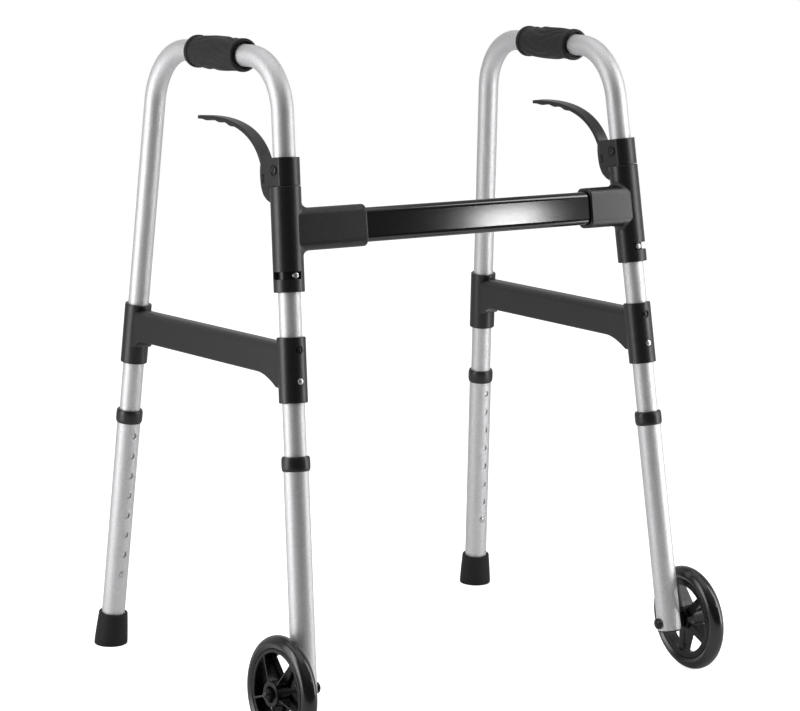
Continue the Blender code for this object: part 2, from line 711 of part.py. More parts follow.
def socket_arm(mouth):
    """Arm that holds the crossbar, flared into the hinge sleeve, in the crossbar's frame."""
    axis = hinge_axis_reach()
    wall = axis - HOUSING_RADIUS
    sections = []
    for reach, shrink in ((mouth, ARM_END_ROUND), (mouth + ARM_END_ROUND, 0.0)):
        sections.append([(x, y * (1 - shrink / ARM_HALF_DEPTH), z * (1 - shrink / ARM_HALF_HEIGHT))
                         for x, y, z in arm_section(reach, ARM_HALF_HEIGHT, ARM_HALF_HEIGHT)])
    longest = max(ARM_TOP_FILLET, ARM_LOW_FILLET)
    steps = 3
    for i in range(steps + 1):
        distance = longest * (1.0 - math.sin(0.5 * math.pi * i / steps))
        top = ARM_HALF_HEIGHT + fillet_rise(ARM_TOP_FILLET, distance)
        low = ARM_HALF_HEIGHT + fillet_rise(ARM_LOW_FILLET, distance)
        sections.append(arm_section(wall - distance, top, low))
    sections.append([(axis, y * ARM_ROOT_SHARE, z) for _, y, z in sections[-1]])
    return loft(sections)


def bar_outline(margin):
    """Outline of the crossbar grown by a margin."""
    return rounded_outline(-BAR_HALF_DEPTH - margin, BAR_HALF_DEPTH + margin,
                           -BAR_HALF_HEIGHT - margin, BAR_HALF_HEIGHT + margin,
                           BAR_ROUND + margin, BAR_ROUND + margin, 3)


def bar_solid(margin, start, end):
    """Length of the crossbar's outline, grown by a margin, in the crossbar's frame."""
    return loft([[(x, y, z) for y, z in bar_outline(margin)] for x in (start, end)])


def groove(inner, low, high, start, end):
    """Cutter for a track round the sleeve, between two angles in degrees."""
    outer = HOUSING_RADIUS + OVERCUT
    steps = max(2, int((end - start) / GROOVE_STEP))
    sections = []
    for i in range(steps + 1):
        angle = math.radians(start + (end - start) * i / steps)
        c, s = math.cos(angle), math.sin(angle)
        sections.append([(inner * c, inner * s, low), (outer * c, outer * s, low),
                         (outer * c, outer * s, high), (inner * c, inner * s, high)])
    return loft(sections)


def tooth_height_on_leg():
    """Height along the leg of the middle of the lever's lock tooth."""
    return PIVOT_HEIGHT_ON_LEG + TOE_BOTTOM + TOOTH_RISE


def hinge_housing(side):
    """Sleeve that turns on the front leg, with its socket arm, stop slot and lock track."""
    fold, mouth = FOLDS[side], ARM_MOUTH[side]
    body = sleeve(HOUSING_RADIUS, HOUSING_LOW, HOUSING_TOP, HOUSING_CHAMFER)
    to_leg = FRONT_LEG.inverted() @ CROSSBAR
    arm = moved(socket_arm(mouth), to_leg)
    bore = cylinder(SLEEVE_BORE, HOUSING_LOW - OVERCUT, HOUSING_TOP + OVERCUT)
    pocket = moved(bar_solid(TOUCH, mouth - OVERCUT, BAR_HALF_LENGTH + TOUCH), to_leg)
    head = STOP_HEAD_RADIUS + TOUCH
    half_angle = math.degrees(math.asin(head / FRAME_RADIUS))
    slot = groove(FRAME_RADIUS - OVERCUT, STOP_SLOT_HEIGHT_ON_LEG - head,
                  STOP_SLOT_HEIGHT_ON_LEG + head, -90.0 - half_angle, -90.0 + fold + half_angle)
    tooth = tooth_height_on_leg()
    reach = HOUSING_RADIUS - TOOTH_ENGAGEMENT
    tooth_angle = math.degrees(math.asin((TOOTH_HALF_WIDTH + 2 * TOUCH) / reach))
    track = groove(reach - TRACK_GAP, tooth - TOOTH_HEIGHT / 2.0 - TOUCH * 2,
                   tooth + TOOTH_HEIGHT / 2.0 + TOUCH * 2, 90.0 - tooth_angle,
                   90.0 + fold + tooth_angle)
    rivet = moved(bar_rivet_hole(BAR_RIVET_REACH), to_leg)
    return combined(body, [bore, pocket, slot, track, rivet], [arm])


def bar_rivet_hole(reach):
    """Cutter for a rivet of the crossbar, from the rear, at a distance from its middle."""
    return cylinder(SCREW_SHANK_RADIUS + TOUCH, 0.0, DRILL_REACH, at(x=reach) @ TO_REAR, SCREW_SIDES)


def crossbar():
    """Flat-oval tube between the two housings."""
    end = BAR_HALF_LENGTH
    outer = [[(x, y, z) for y, z in bar_outline(0.0)] for x in (-end, end)]
    inner = [[(x, y, z) for y, z in bar_outline(-BAR_WALL)] for x in (-end, end)]
    bar = loft([inner[0], outer[0], outer[1], inner[1]], closed=True)
    return combined(bar, [bar_rivet_hole(reach) for reach in (-BAR_RIVET_REACH, BAR_RIVET_REACH)])


def crossbar_rivet():
    """Rivet that holds the crossbar in its socket, from the rear."""
    seat = ARM_HALF_DEPTH + TOUCH
    profile = dome_fastener(SCREW_SHANK_RADIUS, RIVET_HEAD_RADIUS, BAR_HALF_DEPTH - SHANK_DEPTH,
                            seat, seat + BAR_RIVET_HEAD)
    return lathe(profile, SCREW_SIDES, at(x=BAR_RIVET_REACH) @ TO_REAR)


def stop_screw():
    """Screw in the tube that runs in the housing's slot and stops the fold."""
    seat = FRAME_RADIUS + TOUCH
    profile = dome_fastener(SCREW_SHANK_RADIUS, STOP_HEAD_RADIUS, FRAME_RADIUS - SHANK_DEPTH,
                            seat, HOUSING_RADIUS - 2 * TOUCH)
    return lathe(profile, SCREW_SIDES, at(z=STOP_SLOT_HEIGHT_ON_LEG) @ TO_FRONT)


# Release lever and the bracket that carries it

def bracket_outline():
    """Top view of the bracket: round in front, flat-sided, square at the rear."""
    angle = math.degrees(math.asin(BRACKET_HALF_WIDTH / BRACKET_RADIUS))
    start, end = -90.0 - angle, -90.0 + angle
    flat = BRACKET_HALF_WIDTH - BRACKET_ROUND
    points = arc((0.0, 0.0), BRACKET_RADIUS, start, end, 6)
    points += arc((flat, BRACKET_REAR - BRACKET_ROUND), BRACKET_ROUND, 0, 90, 2)
    points += arc((-flat, BRACKET_REAR - BRACKET_ROUND), BRACKET_ROUND, 90, 180, 2)
    return points


def lever_bracket():
    """Collar bolted to the front leg, with two ears for the lever's pivot."""
    top = BRACKET_LOW + BRACKET_HEIGHT
    base = loft([[(x, y, z) for x, y in bracket_outline()] for z in (BRACKET_LOW, top)])
    slot = LEVER_HALF_WIDTH + TOUCH
    across = BRACKET_HALF_WIDTH + OVERCUT
    pivot = at(y=PIVOT_SETBACK, z=PIVOT_HEIGHT_ON_LEG) @ TO_OUTBOARD
    cuts = [cylinder(SLEEVE_BORE, BRACKET_LOW - OVERCUT, top + OVERCUT),
            box((-slot, LEVER_SLOT_FRONT, BRACKET_LOW - OVERCUT),
                (slot, BRACKET_REAR + OVERCUT, top + OVERCUT)),
            drill(BOLT_RADIUS + TOUCH, BRACKET_BOLT_HEIGHT_ON_LEG, TO_OUTBOARD, -DRILL_REACH),
            cylinder(PIVOT_RADIUS + TOUCH, -across, across, pivot, SCREW_SIDES)]
    for facing in (TO_OUTBOARD, TO_INBOARD):
        bolt = at(z=BRACKET_BOLT_HEIGHT_ON_LEG) @ facing
        cuts.append(cylinder(BOLT_RECESS_RADIUS, BRACKET_HALF_WIDTH - BOLT_RECESS_DEPTH, across,
                             bolt, AXLE_SIDES))
        ear = at(y=PIVOT_SETBACK, z=PIVOT_HEIGHT_ON_LEG) @ facing
        cuts.append(cylinder(PIVOT_RECESS_RADIUS, BRACKET_HALF_WIDTH - PIVOT_RECESS_DEPTH, across,
                             ear, AXLE_SIDES))
    return combined(base, cuts)


def two_headed_pin(shank_radius, head_radius, seat, top):
    """Outline of a pin with a domed head at both ends, along Z."""
    edge = seat + (top - seat) * HEAD_EDGE_SHARE
    upper = [(shank_radius, seat), (head_radius, seat), (head_radius, edge),
             (head_radius * HEAD_FACE_SHARE, top), (0.0, top)]
    lower = [(radius, -height) for radius, height in reversed(upper)]
    return lower + upper


def bracket_bolt():
    """Bolt through the bracket and the tube."""
    seat = BRACKET_HALF_WIDTH - BOLT_RECESS_DEPTH + TOUCH
    profile = two_headed_pin(BOLT_RADIUS, BOLT_HEAD_RADIUS, seat, seat + BOLT_HEAD)
    return lathe(profile, SCREW_SIDES, at(z=BRACKET_BOLT_HEIGHT_ON_LEG) @ TO_OUTBOARD)


def pivot_pin():
    """Pin that the release lever turns on."""
    seat = BRACKET_HALF_WIDTH - PIVOT_RECESS_DEPTH + TOUCH
    profile = two_headed_pin(PIVOT_RADIUS, PIVOT_HEAD_RADIUS, seat, seat + PIVOT_HEAD)
    return lathe(profile, SCREW_SIDES, at(y=PIVOT_SETBACK, z=PIVOT_HEIGHT_ON_LEG) @ TO_OUTBOARD)


def lever_curve(share):
    """Point and heading on the middle line of the strap, from the body to the tip."""
    keep = 1.0 - share
    weights = (keep ** 3, 3 * keep ** 2 * share, 3 * keep * share ** 2, share ** 3)
    controls = [Vector(point) for point in LEVER_CURVE]
    point = sum((control * weight for control, weight in zip(controls, weights)), Vector((0.0, 0.0)))
    slopes = (keep ** 2, 2 * keep * share, share ** 2)
    heading = sum(((controls[k + 1] - controls[k]) * slopes[k] for k in range(3)), Vector((0.0, 0.0)))
    return point, heading.normalized()


def bump_height(share):
    """Depth of the finger bumps under the strap."""
    start, end = LEVER_BUMP_SPAN
    if not start < share < end:
        return 0.0
    return LEVER_BUMP * math.sin(math.pi * LEVER_BUMPS * (share - start) / (end - start)) ** 2


def lever_strap():
    """Curved strap of the lever, with scalloped finger bumps under its tip."""
    steps = 16
    edge = LEVER_HALF_WIDTH - LEVER_EDGE
    root, tip = LEVER_THICKNESS
    sections = []
    for i in range(steps + 1):
        share = i / steps
        point, heading = lever_curve(share)
        up = Vector((-heading.y, heading.x))
        half = (root + (tip - root) * share) / 2.0
        low = half + bump_height(share)
        outline = ((-LEVER_HALF_WIDTH, half - LEVER_EDGE), (-edge, half), (edge, half),
                   (LEVER_HALF_WIDTH, half - LEVER_EDGE), (LEVER_HALF_WIDTH, LEVER_EDGE - low),
                   (edge, -low), (-edge, -low), (-LEVER_HALF_WIDTH, LEVER_EDGE - low))
        sections.append([(x, point.x + up.x * z, point.y + up.y * z) for x, z in outline])
    return loft(sections)


def release_lever():
    """Hand lever: strap, lower body, spring pocket and lock tooth."""
    side = LEVER_HALF_WIDTH
    outline = [(LEVER_FRONT - TOE_GAP, TOE_BOTTOM), *LEVER_BODY, (LEVER_FRONT, BRACKET_WALL)]
    body = bevelled(loft([[(x, y, z) for y, z in outline] for x in (-side, side)]), LEVER_BODY_EDGE)
    pocket_rear, pocket_half_height = SPRING_POCKET
    pocket_half = SPRING_TURNS * SPRING_WIRE * 2.0 + SPRING_POCKET_SIDE
    pocket = box((-pocket_half, -PIVOT_SETBACK, -pocket_half_height),
                 (pocket_half, pocket_rear, pocket_half_height))
    about_leg = at(y=-PIVOT_SETBACK)
    hug = cylinder(TOE_RADIUS, TOE_BOTTOM - OVERCUT, BRACKET_LOW - PIVOT_HEIGHT_ON_LEG + OVERCUT,
                   about_leg, 2 * TUBE_SIDES)
    hole = cylinder(PIVOT_RADIUS + RUNNING_GAP, -DRILL_REACH, DRILL_REACH, TO_OUTBOARD, AXLE_SIDES)
    shaped = combined(body, [hug, pocket, hole], [lever_strap()])
    tooth_mid = tooth_height_on_leg() - PIVOT_HEIGHT_ON_LEG
    tooth = box((-TOOTH_HALF_WIDTH, HOUSING_RADIUS - TOOTH_ENGAGEMENT - PIVOT_SETBACK,
                 tooth_mid - TOOTH_HEIGHT / 2.0),
                (TOOTH_HALF_WIDTH, TOE_RADIUS + TOOTH_ROOT - PIVOT_SETBACK,
                 tooth_mid + TOOTH_HEIGHT / 2.0))
    return combined(shaped, joins=[tooth])


def spring_path():
    """Middle line of the lever's torsion spring, about the lever's pivot."""
    steps_per_turn = 6
    start_x = -SPRING_PITCH * SPRING_TURNS / 2.0
    points = [Vector((start_x, LEVER_FRONT, SPRING_COIL_RADIUS))]
    for i in range(steps_per_turn * SPRING_TURNS + 1):
        angle = math.pi / 2.0 - math.tau * i / steps_per_turn
        points.append(Vector((start_x + SPRING_PITCH * i / steps_per_turn,
                              SPRING_COIL_RADIUS * math.cos(angle),
                              SPRING_COIL_RADIUS * math.sin(angle))))
    points.append(Vector((-start_x, SPRING_LEG, SPRING_COIL_RADIUS)))
    return points


def lever_spring():
    """Torsion spring on the pivot pin that returns the lever."""
    points = spring_path()
    sides = 5
    sections = []
    for i, point in enumerate(points):
        ahead = points[min(i + 1, len(points) - 1)]
        behind = points[max(i - 1, 0)]
        heading = (ahead - behind).normalized()
        across = heading.cross(Vector((1.0, 0.0, 0.0))).normalized()
        other = heading.cross(across)
        ring = []
        for k in range(sides):
            angle = math.tau * k / sides
            ring.append(point + (across * math.cos(angle) + other * math.sin(angle)) * SPRING_WIRE)
        sections.append(ring)
    return loft(sections)


# Side brace

def brace_top(rear):
    """Height of the brace's top edge at a distance behind the front leg's foot."""
    return BRACE_TOP_AT_FRONT - BRACE_SLOPE * rear


def leg_position(start, rake, height):
    """Distance behind the front leg's foot of a leg's axis at a height."""
    return start + height * math.tan(rake)


def flare_drop(flare, distance):
    """Drop of a curved flare at a distance from the sleeve that it runs into."""
    length, depth = flare
    if distance >= length:
        return 0.0
    distance = max(distance, 0.0)
    return depth * ((length - distance) / length) ** FLARE_POWER


def brace_stations():
    """Places along the brace, closer together where its lower edge flares."""
    height = brace_top(BASE_LENGTH / 2.0) - BRACE_HEIGHT
    front = leg_position(0.0, FRONT_RAKE, height)
    rear = leg_position(BASE_LENGTH, -REAR_RAKE, height)
    front_wall, rear_wall = front + BRACE_SLEEVE_RADIUS, rear - BRACE_SLEEVE_RADIUS
    steps = 4
    stations = [(front, front_wall, rear_wall)]
    for i in range(steps + 1):
        share = (i / steps) ** FLARE_POWER
        stations.append((front_wall + FRONT_FLARE[0] * share, front_wall, rear_wall))
    for i in range(steps, -1, -2):
        share = (i / steps) ** FLARE_POWER
        stations.append((rear_wall - REAR_FLARE[0] * share, front_wall, rear_wall))
    stations.append((rear, front_wall, rear_wall))
    return stations


def brace_section(place, front_wall, rear_wall, wall=0.0):
    """Outline of the brace's bar, or of its hollow, at a place along it."""
    top = brace_top(place)
    low = top - BRACE_HEIGHT
    low -= flare_drop(FRONT_FLARE, place - front_wall) + flare_drop(REAR_FLARE, rear_wall - place)
    half = BRACE_HALF_WIDTH - wall
    if wall:
        outline = rounded_outline(-half, half, low - OVERCUT, top - wall,
                                  BRACE_LOW_ROUND, BRACE_TOP_ROUND - wall)
    else:
        outline = rounded_outline(-half, half, low, top, BRACE_LOW_ROUND, BRACE_TOP_ROUND)
    return [(x, place, z) for x, z in outline]


def side_brace():
    """Moulded brace: a sleeve on each leg and a ribbed channel between them."""
    stations = brace_stations()
    bar = loft([brace_section(*station) for station in stations])
    _, front_wall, rear_wall = stations[0]
    start, end = front_wall + BRACE_WALL, rear_wall - BRACE_WALL
    pitch = (end - start - BRACE_RIBS * BRACE_WALL) / (BRACE_RIBS + 1)
    cells = []
    for i in range(BRACE_RIBS + 1):
        low = start + i * (pitch + BRACE_WALL)
        places = (low, low + pitch)
        cells.append(loft([brace_section(place, front_wall, rear_wall, BRACE_WALL)
                           for place in places]))
    to_leg = Matrix.Rotation(-FRONT_RAKE, 4, "X")
    to_rear = at(y=BASE_LENGTH) @ Matrix.Rotation(REAR_RAKE, 4, "X")
    front_top = BRACE_FRONT_LOW + BRACE_SLEEVE_HEIGHT
    rear_top = BRACE_REAR_LOW + BRACE_SLEEVE_HEIGHT
    sleeves = [moved(sleeve(BRACE_SLEEVE_RADIUS, low, top, BRACE_SLEEVE_CHAMFER), matrix)
               for low, top, matrix in ((BRACE_FRONT_LOW, front_top, to_leg),
                                        (BRACE_REAR_LOW, rear_top, to_rear))]
    bores = [cylinder(SLEEVE_BORE, BRACE_FRONT_LOW - OVERCUT, front_top + OVERCUT, to_leg),
             cylinder(SLEEVE_BORE, BRACE_REAR_LOW - OVERCUT, rear_top + OVERCUT, to_rear)]
    holes = [moved(mesh, to_leg) for mesh in brace_fastener_cutters(BRACE_FRONT_LOW, TO_FRONT)]
    holes += [moved(mesh, to_rear) for mesh in brace_fastener_cutters(BRACE_REAR_LOW, TO_REAR)]
    hollow = combined(bar, cells)
    whole = combined(hollow, bores + holes, sleeves)
    return moved(whole, Matrix.Rotation(FRONT_RAKE, 4, "X"))


# Lower legs

def hole_heights(collar_top):
    """Heights of the adjustment holes of a leg whose collar ends at a height."""
    return [collar_top - HOLE_DROP - i * HOLE_PITCH for i in range(HOLE_COUNT)]


def leg_collar(top):
    """Barrel-shaped collar on the mouth of an outer leg, with a lip over its end."""
    low = top - LEG_COLLAR_HEIGHT
    waist = LEG_COLLAR_RADIUS - LEG_COLLAR_TAPER
    return lathe([(LEG_SEAT, low), (waist, low), (LEG_COLLAR_RADIUS, low + LEG_COLLAR_SHOULDER),
                  (LEG_COLLAR_RADIUS, top - LEG_COLLAR_SHOULDER), (waist, top),
                  (SLEEVE_BORE, top), (SLEEVE_BORE, top - LEG_COLLAR_LIP),
                  (LEG_SEAT, top - LEG_COLLAR_LIP)], TUBE_SIDES)


def outer_leg(low, collar_top, facing, cuts=()):
    """Outer leg tube with its row of adjustment holes."""
    top = collar_top - LEG_COLLAR_LIP - TOUCH
    holes = [drill(HOLE_RADIUS, height, facing) for height in hole_heights(collar_top)]
    return combined(tube(LEG_RADIUS, LEG_INNER, low, top), holes + list(cuts))


def front_leg_end():
    """Height along the leg of the lower end of the front outer leg."""
    return axle_on_leg() - AXLE_TO_TUBE_END


def front_leg():
    """Front outer leg, drilled for the axle."""
    axle = drill(AXLE_RADIUS + TOUCH, axle_on_leg(), TO_OUTBOARD, -DRILL_REACH, AXLE_SIDES)
    return outer_leg(front_leg_end(), FRONT_COLLAR_TOP, TO_REAR, [axle])


def end_plug():
    """Cap in the lower end of the front leg."""
    low = front_leg_end() - TOUCH
    stub = LEG_INNER - TOUCH
    return lathe([(0.0, low - PLUG_THICKNESS), (LEG_RADIUS, low - PLUG_THICKNESS), (LEG_RADIUS, low),
                  (stub, low), (stub, low + PLUG_STUB), (0.0, low + PLUG_STUB)], TUBE_SIDES)


def snap_clip(facing):
    """Spring clip inside the tube: a bent strip with a button that stands out of it."""
    wall = FRAME_RADIUS - FRAME_WALL
    half_width = CLIP_WIDTH / 2.0
    reach = math.sqrt(wall ** 2 - half_width ** 2) - TOUCH
    t = CLIP_THICKNESS
    outline = [(reach, -CLIP_TAIL), (reach, CLIP_TAIL), (t, CLIP_LENGTH), (-t, CLIP_LENGTH),
               (-reach, CLIP_TAIL), (-reach, -CLIP_TAIL), (t - reach, -CLIP_TAIL),
               (t - reach, CLIP_TAIL), (0.0, CLIP_LENGTH - CLIP_NOSE), (reach - t, CLIP_TAIL),
               (reach - t, -CLIP_TAIL)]
    strip = loft([[(x, y, z) for y, z in outline] for x in (-half_width, half_width)])
    top = LEG_RADIUS + BUTTON_STANDOUT
    button = lathe([(0.0, reach - t / 2.0), (BUTTON_RADIUS, reach - t / 2.0),
                    (BUTTON_RADIUS, LEG_RADIUS), (BUTTON_RADIUS * HEAD_FACE_SHARE, top - BUTTON_EDGE),
                    (0.0, top)], SCREW_SIDES, TO_REAR)
    clip = combined(strip, joins=[button])
    if facing == "front":
        clip.transform(Matrix.Rotation(math.pi, 4, "Z"))
    return clip


def rear_leg():
    """Rear outer leg, which stands in its rubber tip."""
    return outer_leg(rear_leg_end(), REAR_COLLAR_TOP, TO_FRONT)


def rear_leg_end():
    """Height along the leg of the lower end of the rear outer leg."""
    return TIP_FLOOR + TOUCH


def rear_tip():
    """Flared rubber tip, cut level with the floor."""
    low = -TIP_FOOT_RADIUS
    shape = lathe([(0.0, low), (TIP_FOOT_RADIUS, low), (TIP_FOOT_RADIUS, TIP_FOOT),
                   (TIP_WAIST_RADIUS, TIP_WAIST), (TIP_TOP_RADIUS, TIP_HEIGHT - TIP_LIP),
                   (TIP_TOP_RADIUS - TIP_LIP, TIP_HEIGHT),
                   (LEG_SEAT, TIP_HEIGHT), (LEG_SEAT, TIP_FLOOR), (0.0, TIP_FLOOR)], TUBE_SIDES)
    bm = bmesh.new()
    bm.from_mesh(shape)
    to_world = REAR_LEG.inverted()
    floor_point = to_world @ Vector((REAR_LEG.translation.x, REAR_LEG.translation.y, 0.0))
    floor_normal = to_world.to_3x3() @ Vector((0.0, 0.0, 1.0))
    cut = bmesh.ops.bisect_plane(bm, geom=bm.verts[:] + bm.edges[:] + bm.faces[:],
                                 plane_co=floor_point, plane_no=floor_normal, clear_inner=True)
    rim = [item for item in cut["geom_cut"] if isinstance(item, bmesh.types.BMEdge)]
    bmesh.ops.edgeloop_fill(bm, edges=rim)
    return new_mesh(bm)


# Wheel

def spoke(turn):
    """Spoke: a plate with a fin on its outboard face, both tapering towards the rim."""
    fin = SPOKE_FIN / 2.0
    sections = []
    for k, reach in enumerate((HUB_RADIUS - SPOKE_ROOT, RIM_RADIUS - SPOKE_ROOT)):
        half = SPOKE_WIDTH[k] / 2.0
        inner, outer, ridge = SPOKE_INNER_FACE[k], SPOKE_OUTER_FACE[k], SPOKE_RIDGE[k]
        outline = ((-half, inner), (half, inner), (half, outer), (fin, outer), (fin, ridge),
                   (-fin, ridge), (-fin, outer), (-half, outer))
        sections.append([turn @ Vector((reach, y, z)) for y, z in outline])
    return loft(sections)


def wheel_rim(phase):
    """Spoked wheel body with its hub, in the wheel's frame."""
    half = RIM_WIDTH / 2.0
    inner_end, outer_end = HUB_INNER_END - WHEEL_OFFSET, HUB_OUTER_END - WHEEL_OFFSET
    band = lathe([(RIM_OPENING[0], -half), (RIM_RADIUS, -half), (RIM_RADIUS, half),
                  (RIM_OPENING[1], half)], WHEEL_SIDES)
    hub = cylinder(HUB_RADIUS, inner_end, outer_end)
    spokes = [spoke(Matrix.Rotation(phase + math.tau * i / SPOKE_COUNT, 4, "Z"))
              for i in range(SPOKE_COUNT)]
    cuts = [cylinder(BUSHING_RADIUS + TOUCH, inner_end - OVERCUT, outer_end + OVERCUT,
                     sides=AXLE_SIDES),
            cylinder(HUB_RECESS_RADIUS, outer_end - HUB_RECESS_DEPTH, outer_end + OVERCUT,
                     sides=AXLE_SIDES)]
    return moved(combined(band, cuts, [hub] + spokes), at(x=WHEEL_OFFSET) @ TO_OUTBOARD)


def tyre():
    """Round-section tyre on the rim."""
    seat = RIM_RADIUS + TOUCH
    profile = [(seat, -TYRE_BASE / 2.0), (seat, TYRE_BASE / 2.0)]
    profile += [(radius, width) for width, radius in
                arc((0.0, WHEEL_RADIUS - TYRE_ROUND), TYRE_ROUND, 0, 180, 6)]
    return lathe(profile, WHEEL_SIDES, at(x=WHEEL_OFFSET) @ TO_OUTBOARD)


def wheel_bushing():
    """Plain bearing in the hub."""
    return tube(BUSHING_RADIUS, BUSHING_BORE, HUB_INNER_END,
                HUB_OUTER_END - HUB_RECESS_DEPTH - TOUCH, TO_OUTBOARD, AXLE_SIDES)


def axle_bolt():
    """Axle bolt with a domed head on the inboard side of the leg."""
    seat = LEG_RADIUS + TOUCH
    end = nut_seat() + NUT_HEX
    edge = -seat - AXLE_HEAD * HEAD_EDGE_SHARE
    crown = edge - (AXLE_HEAD + seat + edge) * HEAD_CROWN_SHARE
    profile = [(0.0, -seat - AXLE_HEAD), (AXLE_HEAD_RADIUS * HEAD_FACE_SHARE, crown),
               (AXLE_HEAD_RADIUS, edge), (AXLE_HEAD_RADIUS, -seat),
               (AXLE_RADIUS, -seat), (AXLE_RADIUS, end), (0.0, end)]
    return lathe(profile, AXLE_SIDES, at(z=axle_on_leg()) @ TO_OUTBOARD)


def nut_seat():
    """Distance outboard of the leg's axis where the axle nut bears on the hub."""
    return HUB_OUTER_END - HUB_RECESS_DEPTH + TOUCH


def axle_nut():
    """Domed hexagon nut on the end of the axle."""
    seat = nut_seat()
    hexagon = lathe([(0.0, seat), (NUT_RADIUS, seat), (NUT_RADIUS, seat + NUT_HEX),
                     (0.0, seat + NUT_HEX)], 6)
    foot = seat + NUT_HEX
    curve = arc((0.0, 0.0), 1.0, 0, 90, 3)[:-1]
    dome = lathe([(0.0, foot - NUT_OVERLAP), (NUT_DOME_RADIUS, foot - NUT_OVERLAP)]
                 + [(NUT_DOME_RADIUS * x, foot + NUT_DOME * y) for x, y in curve]
                 + [(0.0, foot + NUT_DOME)], SCREW_SIDES)
    bore = cylinder(AXLE_RADIUS + TOUCH, seat - OVERCUT, seat + NUT_HEX + TOUCH, sides=AXLE_SIDES)
    return moved(combined(hexagon, [bore], [dome]), at(z=axle_on_leg()) @ TO_OUTBOARD)


def axle_spacer():
    """Washer between the leg and the hub."""
    start = LEG_RADIUS + TOUCH
    return tube(SPACER_RADIUS, AXLE_RADIUS + TOUCH, start, start + SPACER_LENGTH,
                at(z=axle_on_leg()) @ TO_OUTBOARD, AXLE_SIDES)


# The whole walker

def material(name):
    """Make a plain Principled material from the table."""
    colour, roughness, metallic = MATERIALS[name]
    result = bpy.data.materials.new(name)
    result.use_nodes = True
    shader = result.node_tree.nodes["Principled BSDF"]
    shader.inputs["Base Color"].default_value = (*colour, 1.0)
    shader.inputs["Roughness"].default_value = roughness
    shader.inputs["Metallic"].default_value = metallic
    result.diffuse_color = (*colour, 1.0)
    return result


def place(name, mesh, finish, carrier):
    """Put a finished mesh in the scene as a named piece on its carrier."""
    mesh.name = name
    mesh.shade_smooth()
    mesh.set_sharp_from_angle(angle=SHARP_ANGLE)
    piece = bpy.data.objects.new(name, mesh)
    piece_material = material(finish)
    piece_material.name = name + "_" + finish
    mesh.materials.clear()
    mesh.materials.append(piece_material)
    bpy.context.collection.objects.link(piece)
    piece.parent = carrier
    return piece


def carrier(name, matrix):
    """Empty on a joint's axis, which the pieces of a body hang on."""
    empty = bpy.data.objects.new(name, None)
    bpy.context.collection.objects.link(empty)
    empty.matrix_world = matrix
    return empty


def mirrored(mesh):
    """Mirror image of a mesh, with its faces still pointing outwards."""
    copy = mesh.copy()
    copy.transform(MIRROR)
    copy.flip_normals()
    return copy


def side_pieces(side):
    """Every piece of one side: name, mesh, material and the body that carries it."""
    front_screw, front_rivet = brace_fastener_heights(BRACE_FRONT_LOW)
    rear_screw, rear_rivet = brace_fastener_heights(BRACE_REAR_LOW)
    to_rear_leg = FRONT_LEG.inverted() @ REAR_LEG
    return [
        ("hinge_housing", hinge_housing(side), "moulded_plastic", "hinge"),
        ("crossbar_rivet", crossbar_rivet(), "black_steel", "crossbar"),
        ("frame_tube", frame_tube(), "satin_aluminium", "frame"),
        ("hand_grip", hand_grip(), "grip_rubber", "frame"),
        ("stop_screw", stop_screw(), "zinc_steel", "frame"),
        ("lever_bracket", lever_bracket(), "moulded_plastic", "frame"),
        ("bracket_bolt", bracket_bolt(), "black_steel", "frame"),
        ("lever_pivot_pin", pivot_pin(), "black_steel", "frame"),
        ("lever_spring", moved(lever_spring(), at(y=PIVOT_SETBACK, z=PIVOT_HEIGHT_ON_LEG)),
         "zinc_steel", "frame"),
        ("release_lever", release_lever(), "moulded_plastic", "lever"),
        ("side_brace", side_brace(), "moulded_plastic", "frame"),
        ("brace_front_screw", recessed_screw(front_screw, TO_FRONT), "black_steel", "frame"),
        ("brace_front_rivet", dome_rivet(front_rivet, TO_FRONT), "zinc_steel", "frame"),
        ("brace_rear_screw", moved(recessed_screw(rear_screw, TO_REAR), to_rear_leg),
         "black_steel", "frame"),
        ("brace_rear_rivet", moved(dome_rivet(rear_rivet, TO_REAR), to_rear_leg),
         "zinc_steel", "frame"),
        ("front_leg", front_leg(), "satin_aluminium", "front_leg"),
        ("front_leg_collar", leg_collar(FRONT_COLLAR_TOP), "moulded_plastic", "front_leg"),
        ("front_leg_plug", end_plug(), "moulded_plastic", "front_leg"),
        ("front_snap_clip", snap_clip("rear"), "zinc_steel", "front_clip"),
        ("axle_bolt", axle_bolt(), "black_steel", "front_leg"),
        ("axle_spacer", axle_spacer(), "nylon", "front_leg"),
        ("axle_nut", axle_nut(), "black_steel", "front_leg"),
        ("wheel_rim", wheel_rim(SPOKE_PHASE[side]), "wheel_plastic", "wheel"),
        ("wheel_tyre", tyre(), "tyre_rubber", "wheel"),
        ("wheel_bushing", wheel_bushing(), "nylon", "wheel"),
        ("rear_leg", rear_leg(), "satin_aluminium", "rear_leg"),
        ("rear_leg_collar", leg_collar(REAR_COLLAR_TOP), "moulded_plastic", "rear_leg"),
        ("rear_snap_clip", snap_clip("front"), "zinc_steel", "rear_clip"),
        ("rear_tip", rear_tip(), "tip_rubber", "rear_leg"),
    ]


CARRIERS = {"crossbar": CROSSBAR, "hinge": FRONT_LEG, "frame": FRONT_LEG, "lever": LEVER,
            "front_leg": FRONT_LEG, "front_clip": FRONT_CLIP, "rear_leg": REAR_LEG,
            "rear_clip": REAR_CLIP, "wheel": WHEEL}


def build_side(side):
    """Model one side and hang its pieces on empties at their joints' axes."""
    empties = {}
    for key, matrix in CARRIERS.items():
        if side == "right":
            matrix = MIRROR @ matrix @ MIRROR
        empties[key] = carrier(side + "_" + key + "_axis", matrix)
    for name, mesh, finish, key in side_pieces(side):
        if side == "right":
            mesh = mirrored(mesh)
        place(side + "_" + name, mesh, finish, empties[key])


